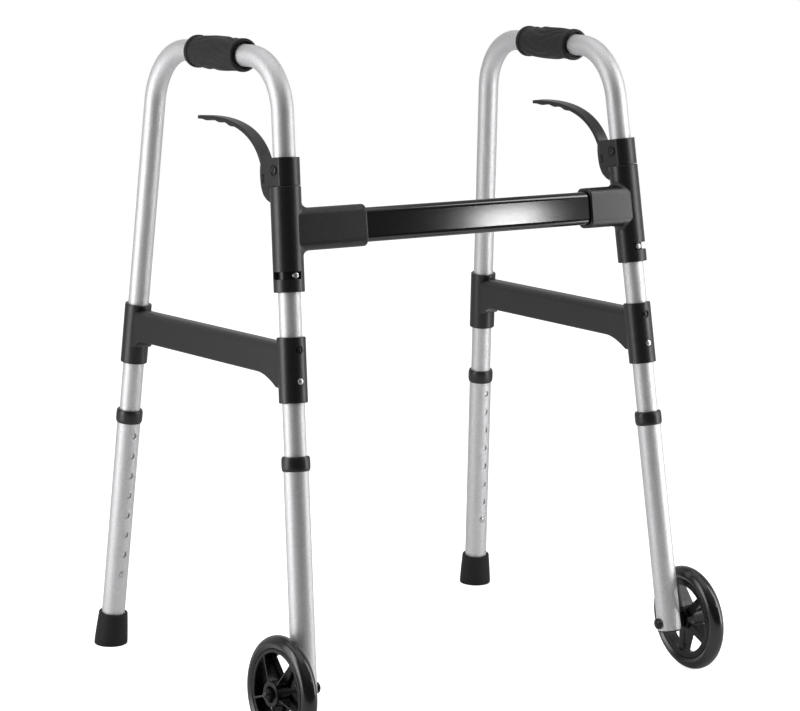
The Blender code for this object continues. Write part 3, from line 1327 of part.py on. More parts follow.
def main():
    """Clear the scene and build the walker."""
    for item in list(bpy.data.objects):
        bpy.data.objects.remove(item)
    place("crossbar", crossbar(), "gloss_black", carrier("crossbar_axis", CROSSBAR))
    for side in ("left", "right"):
        build_side(side)
    bpy.context.view_layer.update()


main()
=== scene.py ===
"""Finished look of the folding two-wheeled walker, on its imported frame.

Metres, +Z up, crossbar and wheels towards -Y. Every visible piece is modelled again in
fine detail for the left side, in the frame of the body that carries it, and mirrored
for the right side. In those frames X points outboard, Y to the rear, Z up the leg.
"""
from math import asin, atan2, cos, degrees, hypot, pi, radians, sin, sqrt, tan, tau

import bmesh
import bpy
from mathutils import Matrix, Vector


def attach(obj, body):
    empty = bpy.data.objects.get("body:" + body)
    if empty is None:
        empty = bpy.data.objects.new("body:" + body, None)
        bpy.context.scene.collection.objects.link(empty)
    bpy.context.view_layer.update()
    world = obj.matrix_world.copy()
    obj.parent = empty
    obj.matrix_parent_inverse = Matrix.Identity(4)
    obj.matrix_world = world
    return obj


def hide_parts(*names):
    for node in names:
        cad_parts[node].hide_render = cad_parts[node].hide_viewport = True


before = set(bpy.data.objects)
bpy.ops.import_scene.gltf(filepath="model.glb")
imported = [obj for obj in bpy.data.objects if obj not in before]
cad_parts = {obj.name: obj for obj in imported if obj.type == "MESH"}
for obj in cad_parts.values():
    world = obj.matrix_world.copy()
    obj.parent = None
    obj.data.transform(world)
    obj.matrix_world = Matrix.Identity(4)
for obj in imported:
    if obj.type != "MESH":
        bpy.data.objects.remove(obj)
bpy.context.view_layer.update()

# Stance of a side frame: half the spacing of the front legs at the floor, floor
# distance from front to rear leg, and how the frame and its two legs lean
FRONT_HALF_TRACK = 0.2607
BASE_LENGTH = 0.4469
SPLAY = radians(2.62)
TOE = radians(2.10)
FRONT_RAKE = radians(9.07)
REAR_RAKE = radians(4.55)

# Upper frame tube, bent over the top, and the outer leg tubes that slide over it
FRAME_RADIUS = 0.0127
FRAME_WALL = 0.0016
LEG_WALL = 0.0013
SLIDE_GAP = 0.0003
BEND_RADIUS = 0.0705
TOP_RISE = radians(1.3)

# Hand grip, centred on the straight top of the tube
GRIP_HEIGHT = 0.7497
GRIP_SETBACK = 0.2478
GRIP_LENGTH = 0.1048
GRIP_FLANGE_RADIUS = 0.0192
GRIP_FLANGE = 0.0065
GRIP_FLANGE_ROUND = 0.0020
GRIP_NECK_RADIUS = 0.0172
GRIP_CROWN_RADIUS = 0.0200
GRIP_CROWN_POWER = 0.6
GRIP_MOUTH_RADIUS = 0.0162
GRIP_MOUTH_DEPTH = 0.0050

# Snap-button adjustment: the same row of holes in each outer leg
HOLE_COUNT = 8
HOLE_PITCH = 0.0254
HOLE_DROP = 0.0311
BUTTON_RADIUS = 0.00375
BUTTON_STANDOUT = 0.0016
CLIP_THICKNESS = 0.0007
CLIP_WIDTH = 0.0058
CLIP_LENGTH = 0.0340
CLIP_TAIL = 0.0060
CLIP_NOSE = 0.0018
BUTTON_EDGE = 0.0004
INNER_TAIL = 0.0180

# Collars where the frame tube enters the outer legs
FRONT_COLLAR_TOP = 0.3214
REAR_COLLAR_TOP = 0.3029
LEG_COLLAR_RADIUS = 0.01625
LEG_COLLAR_HEIGHT = 0.0165
LEG_COLLAR_LIP = 0.0040
LEG_COLLAR_TAPER = 0.0011
LEG_COLLAR_POWER = 4

# Wheel, on the outboard side of the front leg
WHEEL_RADIUS = 0.0635
TYRE_WIDTH = 0.0195
TYRE_BASE = 0.0156
TYRE_DEPTH = 0.0138
WHEEL_OFFSET = 0.0298
RIM_WIDTH = 0.0160
RIM_BAND = (0.0080, 0.0045)
HUB_RADIUS = 0.0145
HUB_OUTER_REACH = 0.0152
HUB_RECESS_RADIUS = 0.0095
HUB_RECESS_DEPTH = 0.0040
SPOKE_COUNT = 5
SPOKE_PHASE = {"left": radians(9.0), "right": radians(-3.0)}
BUSHING_WALL = 0.0020
AXLE_RADIUS = 0.0040
AXLE_TO_TUBE_END = 0.0088
AXLE_HEAD_RADIUS = 0.0066
AXLE_HEAD = 0.0046
SPACER_LENGTH = 0.0030
NUT_RADIUS = 0.0072
NUT_SIDES = 6
NUT_HEX = 0.0070
NUT_DOME = 0.0052
NUT_DOME_RADIUS = 0.0058
NUT_OVERLAP = 0.0010

# Spokes of the wheel, each a flat plate with a fin on its outboard face: sizes at the hub
# and at the rim, places measured outboard from the middle of the tyre
SPOKE_WIDTH = (0.0100, 0.0086)
SPOKE_INNER_FACE = (-0.0086, -0.0060)
SPOKE_OUTER_FACE = (-0.0030, -0.0005)
SPOKE_RIDGE = (0.0132, 0.0074)
SPOKE_FIN = 0.0022
SPOKE_ROOT = 0.0022

# Rubber tip of the rear leg
TIP_HEIGHT = 0.0412
TIP_TOP_RADIUS = 0.0180
TIP_LIP = 0.0012
TIP_FOOT_RADIUS = 0.0206
TIP_FOOT = 0.0060
TIP_WAIST_RADIUS = 0.0196
TIP_WAIST = 0.0210
TIP_FLOOR = 0.0090

# Moulded side brace between the two legs; its share of the free leg between the collar
# and the housing lies below it
BRACE_SHARE = 0.5440
BRACE_REAR_DROP = 0.0178
BRACE_SLEEVE_HEIGHT = 0.0731
BRACE_SLEEVE_RADIUS = 0.01625
BRACE_SLEEVE_CHAMFER = 0.0010
BRACE_TOP_RISE = 0.0669
BRACE_SLOPE = 0.0365
BRACE_HEIGHT = 0.0368
BRACE_HALF_WIDTH = 0.0125
BRACE_TOP_ROUND = 0.0085
BRACE_LOW_ROUND = 0.0020
BRACE_WALL = 0.0030
BRACE_RIBS = 3
FRONT_FLARE = (0.0400, 0.0128)
REAR_FLARE = (0.0160, 0.0090)
FLARE_POWER = 1.8
BRACE_SCREW_RISE = 0.0590
BRACE_RIVET_RISE = 0.0240

# Hinge housing that turns on the front leg and holds the crossbar
HOUSING_LENGTH = 0.1173
HOUSING_RADIUS = 0.01745
HOUSING_CHAMFER = 0.0012
ARM_RISE = 0.0685
ARM_HALF_HEIGHT = 0.0240
ARM_HALF_DEPTH = 0.0145
ARM_ROUND = 0.0095
ARM_MOUTH = {"left": 0.1720, "right": 0.1420}
ARM_END_ROUND = 0.0022
ARM_TOP_FILLET = 0.0072
ARM_LOW_FILLET = 0.0070
STOP_SLOT_RISE = 0.0186
STOP_HEAD_RADIUS = 0.0040

# Crossbar, a flat-oval tube pushed into both housings
BAR_HALF_HEIGHT = 0.0196
BAR_HALF_DEPTH = 0.0111
BAR_ROUND = 0.0075
BAR_WALL = 0.0018
BAR_FORWARD = 0.0020
BAR_HALF_LENGTH = 0.2090
BAR_RIVET_REACH = 0.1900
BAR_RIVET_HEAD = 0.0020

# Fold of each side frame about its front leg, in degrees
RIGHT_FOLD = 84.0
LEFT_FOLD = 58.0

# Collar on the front leg that carries the release lever
BRACKET_BELOW_BEND = 0.0484
BRACKET_GAP = 0.0005
BRACKET_HEIGHT = 0.0314
BRACKET_RADIUS = 0.0170
BRACKET_HALF_WIDTH = 0.0145
BRACKET_ROUND = 0.0030
BRACKET_WALL = 0.0033
BRACKET_BOLT_RISE = 0.0174
BOLT_RADIUS = 0.0025
BOLT_HEAD_RADIUS = 0.0048
BOLT_HEAD = 0.0022
BOLT_RECESS_RADIUS = 0.0066
BOLT_RECESS_DEPTH = 0.0010

# Pivot of the release lever in the bracket's ears
PIVOT_SETBACK = 0.0223
PIVOT_RISE = 0.0096
PIVOT_RADIUS = 0.0030
PIVOT_HEAD_RADIUS = 0.0046
PIVOT_HEAD = 0.0011
PIVOT_EAR_RADIUS = 0.0058
PIVOT_RECESS_RADIUS = 0.0051
PIVOT_RECESS_DEPTH = 0.0012

# Release lever, (rear, up) from its pivot: the points that steer the curve of its strap,
# and the side view of its lower body from the toe round the rear to the strap
LEVER_HALF_WIDTH = 0.0075
LEVER_EDGE = 0.0010
LEVER_THICKNESS = (0.0054, 0.0043)
LEVER_CURVE = ((0.0120, 0.0100), (0.0210, 0.0490), (0.0646, 0.0740), (0.1506, 0.0790))
LEVER_BUMP = 0.0016
LEVER_BUMPS = 3
LEVER_BUMP_SPAN = (0.60, 0.97)
TOE_BOTTOM = -0.0270
LEVER_BODY = ((-0.0020, -0.0276), (0.0055, -0.0242), (0.0126, -0.0183), (0.0164, -0.0103),
              (0.0179, -0.0010), (0.0179, 0.0092), (0.0165, 0.0176), (0.0098, 0.0190),
              (0.0040, 0.0090))
LEVER_FRONT_GAP = 0.0009
TOE_GAP = 0.00045

# Lock tooth of the lever and its track round the housing
TOOTH_RISE = 0.0077
TOOTH_HEIGHT = 0.0050
TOOTH_HALF_WIDTH = 0.0040
TOOTH_ENGAGEMENT = 0.0021
TOOTH_ROOT = 0.0020
TRACK_GAP = 0.0005

# Torsion spring of the lever, and its pocket: reach to the rear and half its height
SPRING_WIRE = 0.0006
SPRING_COIL_RADIUS = 0.0046
SPRING_TURNS = 3
SPRING_GAP = 0.0004
SPRING_LEG = 0.0086
SPRING_POCKET = (0.0092, 0.0075)
SPRING_POCKET_SIDE = 0.0012

# Screws and rivets of the brace, the bar and the stop; how deep a shank goes into a tube
SCREW_SHANK_RADIUS = 0.0020
SCREW_HEAD_RADIUS = 0.0032
SCREW_RECESS_RADIUS = 0.0046
SCREW_RECESS_DEPTH = 0.0021
RIVET_HEAD_RADIUS = 0.0036
RIVET_RECESS_DEPTH = 0.0013
RIVET_STANDOUT = 0.0014
SHANK_DEPTH = 0.0030

# Share of the height of a fastener's head up to the edge of its dome
HEAD_EDGE_SHARE = 0.45

# Gap between pieces that touch or are pressed together
TOUCH = 0.0003
RUNNING_GAP = 0.00035
# How far a cutter runs past the surface that it cuts, and how far a drill runs
OVERCUT = 0.0040
DRILL_REACH = 0.0300

# Flutes of the grip: number, depth, bow along it, the two waves that bend them (strength,
# turns round the grip and along it), sharpness and fade; and its necks behind the flanges
GRIP_FLUTES = 12
GRIP_FLUTE_DEPTH = 0.0013
FLUTE_BOW = 0.30
FLUTE_SWAY = (0.10, 3.0, 2.0)
FLUTE_RIPPLE = (1.2, 2.0, 3.0)
FLUTE_SHARPNESS = 1.5
FLUTE_FADE = 6
GRIP_NECK_BLEND = 0.0045

# Painted shade: a thin black sheet on the tube in the housing, dark in the stop slot and the gap
# under the bracket; and the rolled fillet from its arm to its sleeve
SHADE_BAND_INSET = 0.0010
SHADE_BAND_THICKNESS = 0.00005
ARM_FACET = 0.0020
ROOT_SINK = 0.0001
ROOT_STEPS = 8
ROOT_ENDS = (0.96, 0.10)

# Rounded tip of the lever, spread ends of the spokes and cross recess of the screws
LEVER_TIP_SHARE = 0.985
LEVER_TIP_SHRINK = 0.92
SPOKE_SPREAD = 0.0015
SPOKE_SPREAD_SHARE = 0.25
CROSS_SHARE = 0.14
CROSS_DEPTH = 0.0010

# Rounding of moulded edges, of the edges of the metal, and of long soft edges; the turn
# below which a corner stays as it is, and how much of a side its rounding may take; share
# of a side that each round of cutting takes off a corner of the lever, and those rounds
EDGE = 0.0006
FINE_EDGE = 0.0003
SOFT_EDGE = 0.0012
BLUNT = radians(20.0)
SIDE_SHARE = 0.45
CORNER_CUT = 0.22
CORNER_ROUNDS = 2

# Directions round a leg, in degrees
FRONTWARDS = -90.0
REARWARDS = 90.0

# Fineness of the meshes
TUBE_SIDES = 64
WHEEL_SIDES = 96
AXLE_SIDES = 32
SCREW_SIDES = 24
BEND_STEPS = 20
ROUND_STEPS = 6
DEGREES_PER_FACET = 4.0
SHARP = radians(38.0)

# Camera: azimuth from -Y towards -X, elevation, roll, distance and the point it looks at
CAMERA_AZIMUTH = radians(32.376)
CAMERA_ELEVATION = radians(9.126)
CAMERA_ROLL = radians(0.818)
CAMERA_DISTANCE = 3.1054
CAMERA_TARGET = Vector((-0.0229, 0.0758, 0.4736))
CAMERA_LENS = 114.54
CAMERA_SENSOR = 36.0
CAMERA_SHIFT = (0.05215, -0.1040)

# Light: brightness of the surroundings by bearing from the camera, and of the ceiling,
# which takes over between two shares of the way up
RING = ((-180.0, 0.64), (-128.0, 0.54), (-112.0, 0.38), (-98.0, 0.14), (-40.0, 0.10),
        (40.0, 0.10), (96.0, 0.12), (112.0, 0.54), (180.0, 0.64))
CEILING = 0.33
CEILING_RISE = (0.35, 0.80)

# Soft boxes: name, bearing and distance, bearing it faces, height, width and height of its
# face, and brightness
SOFT_BOXES = (("right_box", 91.0, 1.05, 80.0, 0.85, (0.50, 1.70), 1.1),
              ("right_tube", 83.0, 1.02, 74.0, 0.85, (0.21, 1.70), 4.7),
              ("left_box", -76.0, 1.60, -76.0, 0.85, (0.70, 1.70), 2.0),
              ("left_tube", -64.0, 1.57, -72.0, 0.85, (0.46, 1.70), 2.9),
              ("bar_spot", 66.7, 1.376, 66.7, 0.700, (0.10, 0.07), 20.0))
OVERHEAD = ((0.0, 0.3, 3.0), (3.0, 3.0), 0.75)

# Floor: two corners, its colour, and how much it glows for the camera
FLOOR = ((-3.0, -0.9), (3.0, 4.0))
FLOOR_COLOUR = (0.84, 0.84, 0.84)
FLOOR_GLOW = 0.80

# Span of the noise that colour and gloss are spread over
NOISE_SPAN = (0.3, 0.7)

# Sizes that follow from the ones above
LEG_INNER = FRAME_RADIUS + SLIDE_GAP
LEG_RADIUS = LEG_INNER + LEG_WALL
SLEEVE_BORE = FRAME_RADIUS + TOUCH
LEG_SEAT = LEG_RADIUS + TOUCH
HOLE_RADIUS = BUTTON_RADIUS + TOUCH
LEG_TRAVEL = (HOLE_COUNT - 1) * HOLE_PITCH
FRONT_BUTTON = FRONT_COLLAR_TOP - HOLE_DROP - LEG_TRAVEL
REAR_BUTTON = REAR_COLLAR_TOP - HOLE_DROP - LEG_TRAVEL
RIM_RADIUS = WHEEL_RADIUS - TYRE_DEPTH - TOUCH
RIM_OPENING = (RIM_RADIUS - RIM_BAND[0], RIM_RADIUS - RIM_BAND[1])
HUB_INNER_END = LEG_RADIUS + TOUCH + SPACER_LENGTH + TOUCH
HUB_OUTER_END = WHEEL_OFFSET + HUB_OUTER_REACH
BUSHING_BORE = AXLE_RADIUS + RUNNING_GAP
BUSHING_RADIUS = BUSHING_BORE + BUSHING_WALL
NUT_SEAT = HUB_OUTER_END - HUB_RECESS_DEPTH + TOUCH
TYRE_ROUND = TYRE_WIDTH / 2.0
AXLE_HEIGHT = (WHEEL_RADIUS - TYRE_ROUND) * cos(SPLAY) + TYRE_ROUND
AXLE_ON_LEG = (AXLE_HEIGHT - WHEEL_OFFSET * sin(SPLAY)) / (cos(FRONT_RAKE) * cos(SPLAY))
BRACKET_REAR = PIVOT_SETBACK + PIVOT_EAR_RADIUS
LEVER_SLOT_FRONT = SLEEVE_BORE + BRACKET_WALL
LEVER_FRONT = LEVER_SLOT_FRONT - PIVOT_SETBACK + LEVER_FRONT_GAP
TOE_RADIUS = HOUSING_RADIUS + TOE_GAP
SPRING_PITCH = 2.0 * SPRING_WIRE + SPRING_GAP
SIDES = ("left", "right")
FOLDS = {"left": LEFT_FOLD, "right": RIGHT_FOLD}

# Heights on the front leg, from its bend down: the bracket hangs under the bend, the
# housing under the bracket, and the brace lies between the housing and the leg's collar
FRONT_CORNER = (GRIP_HEIGHT + tan(TOP_RISE) * GRIP_SETBACK) / (
    cos(FRONT_RAKE) + tan(TOP_RISE) * sin(FRONT_RAKE))
FRONT_TURN = pi / 2.0 - FRONT_RAKE + TOP_RISE
BEND_START = FRONT_CORNER - BEND_RADIUS * tan(FRONT_TURN / 2.0)
BRACKET_LOW = BEND_START - BRACKET_BELOW_BEND - BRACKET_HEIGHT
BOLT_HEIGHT = BRACKET_LOW + BRACKET_BOLT_RISE
PIVOT_HEIGHT = BRACKET_LOW + PIVOT_RISE
TOOTH_MIDDLE = PIVOT_HEIGHT + TOE_BOTTOM + TOOTH_RISE
HOUSING_TOP = BRACKET_LOW - BRACKET_GAP
HOUSING_LOW = HOUSING_TOP - HOUSING_LENGTH
ARM_HEIGHT = HOUSING_LOW + ARM_RISE
STOP_SLOT_HEIGHT = HOUSING_LOW + STOP_SLOT_RISE
FREE_LEG = HOUSING_LOW - FRONT_COLLAR_TOP - BRACE_SLEEVE_HEIGHT
BRACE_FRONT_LOW = FRONT_COLLAR_TOP + BRACE_SHARE * FREE_LEG
BRACE_REAR_LOW = BRACE_FRONT_LOW - BRACE_REAR_DROP
BRACE_TOP_AT_FRONT = BRACE_FRONT_LOW * cos(FRONT_RAKE) + BRACE_TOP_RISE

ACROSS = Vector((1.0, 0.0, 0.0))
UP = Vector((0.0, 0.0, 1.0))

# Mirror to the right side, and turns that point Z outboard, inboard, to the front or rear
MIRROR = Matrix.Scale(-1.0, 4, ACROSS)
TO_OUTBOARD = Matrix.Rotation(radians(90.0), 4, "Y")
TO_INBOARD = Matrix.Rotation(radians(-90.0), 4, "Y")
TO_FRONT = Matrix.Rotation(radians(90.0), 4, "X")
TO_REAR = Matrix.Rotation(radians(-90.0), 4, "X")


# Placing

def axes(x, y, z):
    """Rotation to three new axes."""
    return Matrix((x, y, z)).transposed().to_4x4()


def side_matrix():
    """Frame of the left side frame: X outboard, Y to the rear, Z up in its plane."""
    rear = Vector((sin(TOE), cos(TOE), 0.0))
    level_out = Vector((cos(TOE), -sin(TOE), 0.0))
    out = level_out * cos(SPLAY) + UP * sin(SPLAY)
    matrix = axes(out, rear, out.cross(rear))
    matrix.translation = Vector((FRONT_HALF_TRACK, footprint_shift(), 0.0))
    return matrix


def footprint_shift():
    """Shift along Y that centres the walker between its wheels and its rear tips."""
    axle_setback = AXLE_ON_LEG * sin(FRONT_RAKE) * cos(TOE)
    wheel_reach = WHEEL_RADIUS + WHEEL_OFFSET * sin(TOE)
    rear = BASE_LENGTH * cos(TOE) + TIP_FOOT_RADIUS
    return -(axle_setback - wheel_reach + rear) / 2.0


def at(x=0.0, y=0.0, z=0.0):
    """Shift by the given amounts."""
    return Matrix.Translation((x, y, z))


# Frames of the left side: the side frame, its legs, and what sits on them
SIDE = side_matrix()
FRONT_LEG = SIDE @ Matrix.Rotation(-FRONT_RAKE, 4, "X")
REAR_LEG = SIDE @ at(y=BASE_LENGTH) @ Matrix.Rotation(REAR_RAKE, 4, "X")
AXLE = at(z=AXLE_ON_LEG)
BOLT = at(z=BOLT_HEIGHT)
PIVOT = at(y=PIVOT_SETBACK, z=PIVOT_HEIGHT)
WHEEL = FRONT_LEG @ AXLE @ Matrix.Rotation(FRONT_RAKE, 4, "X")
LEVER = FRONT_LEG @ PIVOT
FRONT_CLIP = FRONT_LEG @ at(z=FRONT_BUTTON)
REAR_CLIP = REAR_LEG @ at(z=REAR_BUTTON)
TO_REAR_LEG = FRONT_LEG.inverted() @ REAR_LEG
TO_SIDE = FRONT_LEG.inverted() @ SIDE

# Crossbar: X across the walker from where the hinge axis crosses it, leaning as the legs do
HINGE_POINT = FRONT_LEG @ (UP * ARM_HEIGHT)
LEG_HEADING = FRONT_LEG.to_3x3() @ UP
CROSSBAR = (at(y=HINGE_POINT.y, z=HINGE_POINT.z)
            @ Matrix.Rotation(-atan2(LEG_HEADING.y, LEG_HEADING.z), 4, "X")
            @ at(y=-BAR_FORWARD))

# Frame that each group of pieces is modelled in, and the body that carries the group
CARRIERS = {"crossbar": (CROSSBAR, "crossbar"), "hinge": (FRONT_LEG, "crossbar"),
            "frame": (FRONT_LEG, "{}_frame"), "lever": (LEVER, "{}_lever"),
            "front_leg": (FRONT_LEG, "{}_front_leg"), "front_clip": (FRONT_CLIP, "{}_front_clip"),
            "rear_leg": (REAR_LEG, "{}_rear_leg"), "rear_clip": (REAR_CLIP, "{}_rear_clip"),
            "wheel": (WHEEL, "{}_wheel")}


# Making shapes

def evenly(start, end, steps):
    """Evenly spaced values from start to end."""
    return [start + (end - start) * i / steps for i in range(steps + 1)]


def new_mesh(bm):
    """Turn a closed bmesh into a mesh whose faces point outwards."""
    bmesh.ops.recalc_face_normals(bm, faces=bm.faces)
    mesh = bpy.data.meshes.new("shape")
    bm.to_mesh(mesh)
    bm.free()
    return mesh


def bridge(bm, first, second):
    """Join two rings of vertices with faces; a ring of one vertex is a point."""
    count = max(len(first), len(second))
    for i in range(count):
        j = (i + 1) % count
        corners = [first[i % len(first)], first[j % len(first)],
                   second[j % len(second)], second[i % len(second)]]
        unique = []
        for corner in corners:
            if corner not in unique:
                unique.append(corner)
        if len(unique) > 2:
            bm.faces.new(unique)


def softened(outline, radius, steps=3):
    """Closed outline with its sharp corners rounded off, except those on the axis."""
    result = []
    for i, point in enumerate(outline):
        corner = Vector(point)
        into = corner - Vector(outline[i - 1])
        out = Vector(outline[(i + 1) % len(outline)]) - corner
        if corner.x == 0.0 or into.angle(out) < BLUNT:
            result.append(tuple(corner))
            continue
        cut = min(radius, into.length * SIDE_SHARE, out.length * SIDE_SHARE)
        start, end = corner - into.normalized() * cut, corner + out.normalized() * cut
        for share in evenly(0.0, 1.0, steps):
            keep = 1.0 - share
            point = start * keep ** 2 + corner * 2 * share * keep + end * share ** 2
            result.append(tuple(point))
    return result


def circle(sides):
    """Cosine and sine of each corner of a round shape."""
    return [(cos(tau * i / sides), sin(tau * i / sides)) for i in range(sides)]


def lathe(profile, sides, matrix=Matrix.Identity(4)):
    """Turn a closed outline of (radius, height) points about Z, flat ends as one face."""
    bm = bmesh.new()
    rings = []
    for radius, height in profile:
        rings.append([bm.verts.new((radius * c, radius * s, height))
                      for c, s in circle(sides if radius > 0.0 else 1)])
    for i, first in enumerate(rings):
        second = rings[(i + 1) % len(rings)]
        flat = first[0].co.z == second[0].co.z
        if len(first) == len(second) == 1:
            continue
        if flat and len(first) == 1:
            bm.faces.new(second)
        elif flat and len(second) == 1:
            bm.faces.new(first)
        else:
            bridge(bm, first, second)
    for vertex in [vertex for vertex in bm.verts if not vertex.link_faces]:
        bm.verts.remove(vertex)
    mesh = new_mesh(bm)
    mesh.transform(matrix)
    return mesh


def loft(sections, closed=False):
    """Skin a list of equal rings of points, capped at both ends unless it closes."""
    bm = bmesh.new()
    rings = [[bm.verts.new(point) for point in section] for section in sections]
    for first, second in zip(rings, rings[1:]):
        bridge(bm, first, second)
    if closed:
        bridge(bm, rings[-1], rings[0])
    else:
        bm.faces.new(rings[0])
        bm.faces.new(rings[-1])
    return new_mesh(bm)


def flat_ended(radius, low, high):
    """Outline of a plain cylinder."""
    return [(0.0, low), (radius, low), (radius, high), (0.0, high)]


def flipped(profile):
    """Outline of (radius, height) points turned end for end."""
    return [(radius, -height) for radius, height in reversed(profile)]


def cylinder(radius, low, high, matrix=Matrix.Identity(4), sides=TUBE_SIDES):
    """Plain cylinder about Z, used to cut."""
    return lathe(flat_ended(radius, low, high), sides, matrix)


def sleeve(radius, low, high, rounding):
    """Solid round sleeve about Z with rounded ends, bored later."""
    return lathe(softened(flat_ended(radius, low, high), rounding), TUBE_SIDES)


def extruded(outline, start, end):
    """Outline of (y, z) points drawn out along X."""
    return loft([[(x, y, z) for y, z in outline] for x in (start, end)])


def box(low, high):
    """Box between two corners, used to cut or to add."""
    (x0, y0, z0), (x1, y1, z1) = low, high
    return extruded([(y0, z0), (y1, z0), (y1, z1), (y0, z1)], x0, x1)


def arc(centre, radius, start, end, steps):
    """Points on an arc, angles in degrees."""
    return [(centre[0] + radius * cos(radians(angle)), centre[1] + radius * sin(radians(angle)))
            for angle in evenly(start, end, steps)]


def rounded_outline(left, right, low, high, low_round, high_round, steps=ROUND_STEPS):
    """Rectangle with rounded lower and upper corners, counter-clockwise."""
    points = arc((right - low_round, low + low_round), low_round, -90, 0, steps)
    points += arc((right - high_round, high - high_round), high_round, 0, 90, steps)
    points += arc((left + high_round, high - high_round), high_round, 90, 180, steps)
    points += arc((left + low_round, low + low_round), low_round, 180, 270, steps)
    return points


def evaluated(work):
    """Mesh of an object with its modifiers applied; the object is removed."""
    graph = bpy.context.evaluated_depsgraph_get()
    result = bpy.data.meshes.new_from_object(work.evaluated_get(graph))
    bpy.data.objects.remove(work)
    return result


def shown(name, data):
    """New object of a mesh or another thing in the scene."""
    made = bpy.data.objects.new(name, data)
    bpy.context.collection.objects.link(made)
    return made


def combined(base, cuts, joins=()):
    """Join solids to a base and cut others from it."""
    target = shown("work", base)
    helpers = []
    for operation, meshes in (("UNION", joins), ("DIFFERENCE", cuts)):
        for mesh in meshes:
            helper = shown("helper", mesh)
            helpers.append(helper)
            modifier = target.modifiers.new(operation.lower(), "BOOLEAN")
            modifier.operation = operation
            modifier.solver = "EXACT"
            modifier.object = helper
    result = evaluated(target)
    for helper in helpers:
        bpy.data.objects.remove(helper)
    return result


def eased(mesh, width, segments=2):
    """Round over the sharp edges of a mesh."""
    work = shown("work", mesh)
    bevel = work.modifiers.new("ease", "BEVEL")
    bevel.width = width
    bevel.segments = segments
    bevel.limit_method = "ANGLE"
    bevel.angle_limit = SHARP
    return evaluated(work)


def gathered(meshes):
    """Several closed shapes as one mesh."""
    bm = bmesh.new()
    for mesh in meshes:
        bm.from_mesh(mesh)
    return new_mesh(bm)


def moved(mesh, matrix):
    """A mesh after a transform."""
    mesh.transform(matrix)
    return mesh


# Screws, rivets and the holes for them

def drill(radius, height, facing, start=0.0):
    """Cutter for a round hole that leaves the leg's axis at a height along it."""
    return cylinder(radius, start, DRILL_REACH, at(z=height) @ facing, AXLE_SIDES)


def cross_drive(size, top):
    """Cutters for the cross recess in a screw head that points along Z."""
    half = size * CROSS_SHARE
    low, high = top - CROSS_DEPTH, top + CROSS_DEPTH
    return [box((-x, -y, low), (x, y, high)) for x, y in ((size, half), (half, size))]


def domed_head(shank_radius, head_radius, inner_end, seat, top):
    """Outline of a screw or rivet with a domed head, pointing along Z."""
    edge = seat + (top - seat) * HEAD_EDGE_SHARE
    dome = [(head_radius * cos(angle), edge + (top - edge) * sin(angle))
            for angle in evenly(0.0, pi / 2.0, ROUND_STEPS)[:-1]]
    return [(0.0, inner_end), (shank_radius, inner_end), (shank_radius, seat),
            (head_radius, seat), *dome, (0.0, top)]


def fastener(head_radius, seat, top, inner_end=FRAME_RADIUS - SHANK_DEPTH, cross=False):
    """Rivet or cross-head screw along Z, its shank in a tube."""
    solid = lathe(domed_head(SCREW_SHANK_RADIUS, head_radius, inner_end, seat, top), SCREW_SIDES)
    return combined(solid, cross_drive(SCREW_SHANK_RADIUS, top)) if cross else solid


def recessed_screw(height, facing):
    """Black screw whose head lies in a recess of a brace sleeve."""
    screw = fastener(SCREW_HEAD_RADIUS, BRACE_SLEEVE_RADIUS - SCREW_RECESS_DEPTH + TOUCH,
                     BRACE_SLEEVE_RADIUS - TOUCH, cross=True)
    return moved(screw, at(z=height) @ facing)


def dome_rivet(height, facing):
    """Bright rivet whose head stands a little proud of a brace sleeve."""
    rivet = fastener(RIVET_HEAD_RADIUS, BRACE_SLEEVE_RADIUS - RIVET_RECESS_DEPTH + TOUCH,
                     BRACE_SLEEVE_RADIUS + RIVET_STANDOUT)
    return moved(rivet, at(z=height) @ facing)


def brace_fastener_heights(low):
    """Heights of the screw and of the rivet on a sleeve that starts at a height."""
    return low + BRACE_SCREW_RISE, low + BRACE_RIVET_RISE


def brace_fastener_cutters(low, facing):
    """Holes and recesses for the screw and the rivet of one sleeve."""
    screw, rivet = brace_fastener_heights(low)
    shank = SCREW_SHANK_RADIUS + TOUCH
    return [drill(shank, screw, facing), drill(shank, rivet, facing),
            drill(SCREW_RECESS_RADIUS, screw, facing, BRACE_SLEEVE_RADIUS - SCREW_RECESS_DEPTH),
            drill(SCREW_RECESS_RADIUS, rivet, facing, BRACE_SLEEVE_RADIUS - RIVET_RECESS_DEPTH)]


# Upper frame

def meeting_point(start, direction, other_start, other_direction):
    """Point where two lines in the plane of the side frame cross."""
    cross = direction[0] * other_direction[1] - direction[1] * other_direction[0]
    gap = (other_start[0] - start[0], other_start[1] - start[1])
    step = (gap[0] * other_direction[1] - gap[1] * other_direction[0]) / cross
    return (start[0] + direction[0] * step, start[1] + direction[1] * step)


def bend_points(before, corner, after):
    """Points and headings along a bend of the tube, which rounds off a corner."""
    into = (Vector(corner) - Vector(before)).normalized()
    out = (Vector(after) - Vector(corner)).normalized()
    turn = into.angle(out)
    start = Vector(corner) - into * (BEND_RADIUS * tan(turn / 2.0))
    side = Vector((into.y, -into.x))
    centre = start + side * BEND_RADIUS
    points = []
    for angle in evenly(0.0, turn, BEND_STEPS):
        heading = into * cos(angle) + side * sin(angle)
        outward = into * sin(angle) - side * cos(angle)
        points.append((centre + BEND_RADIUS * outward, heading))
    return points


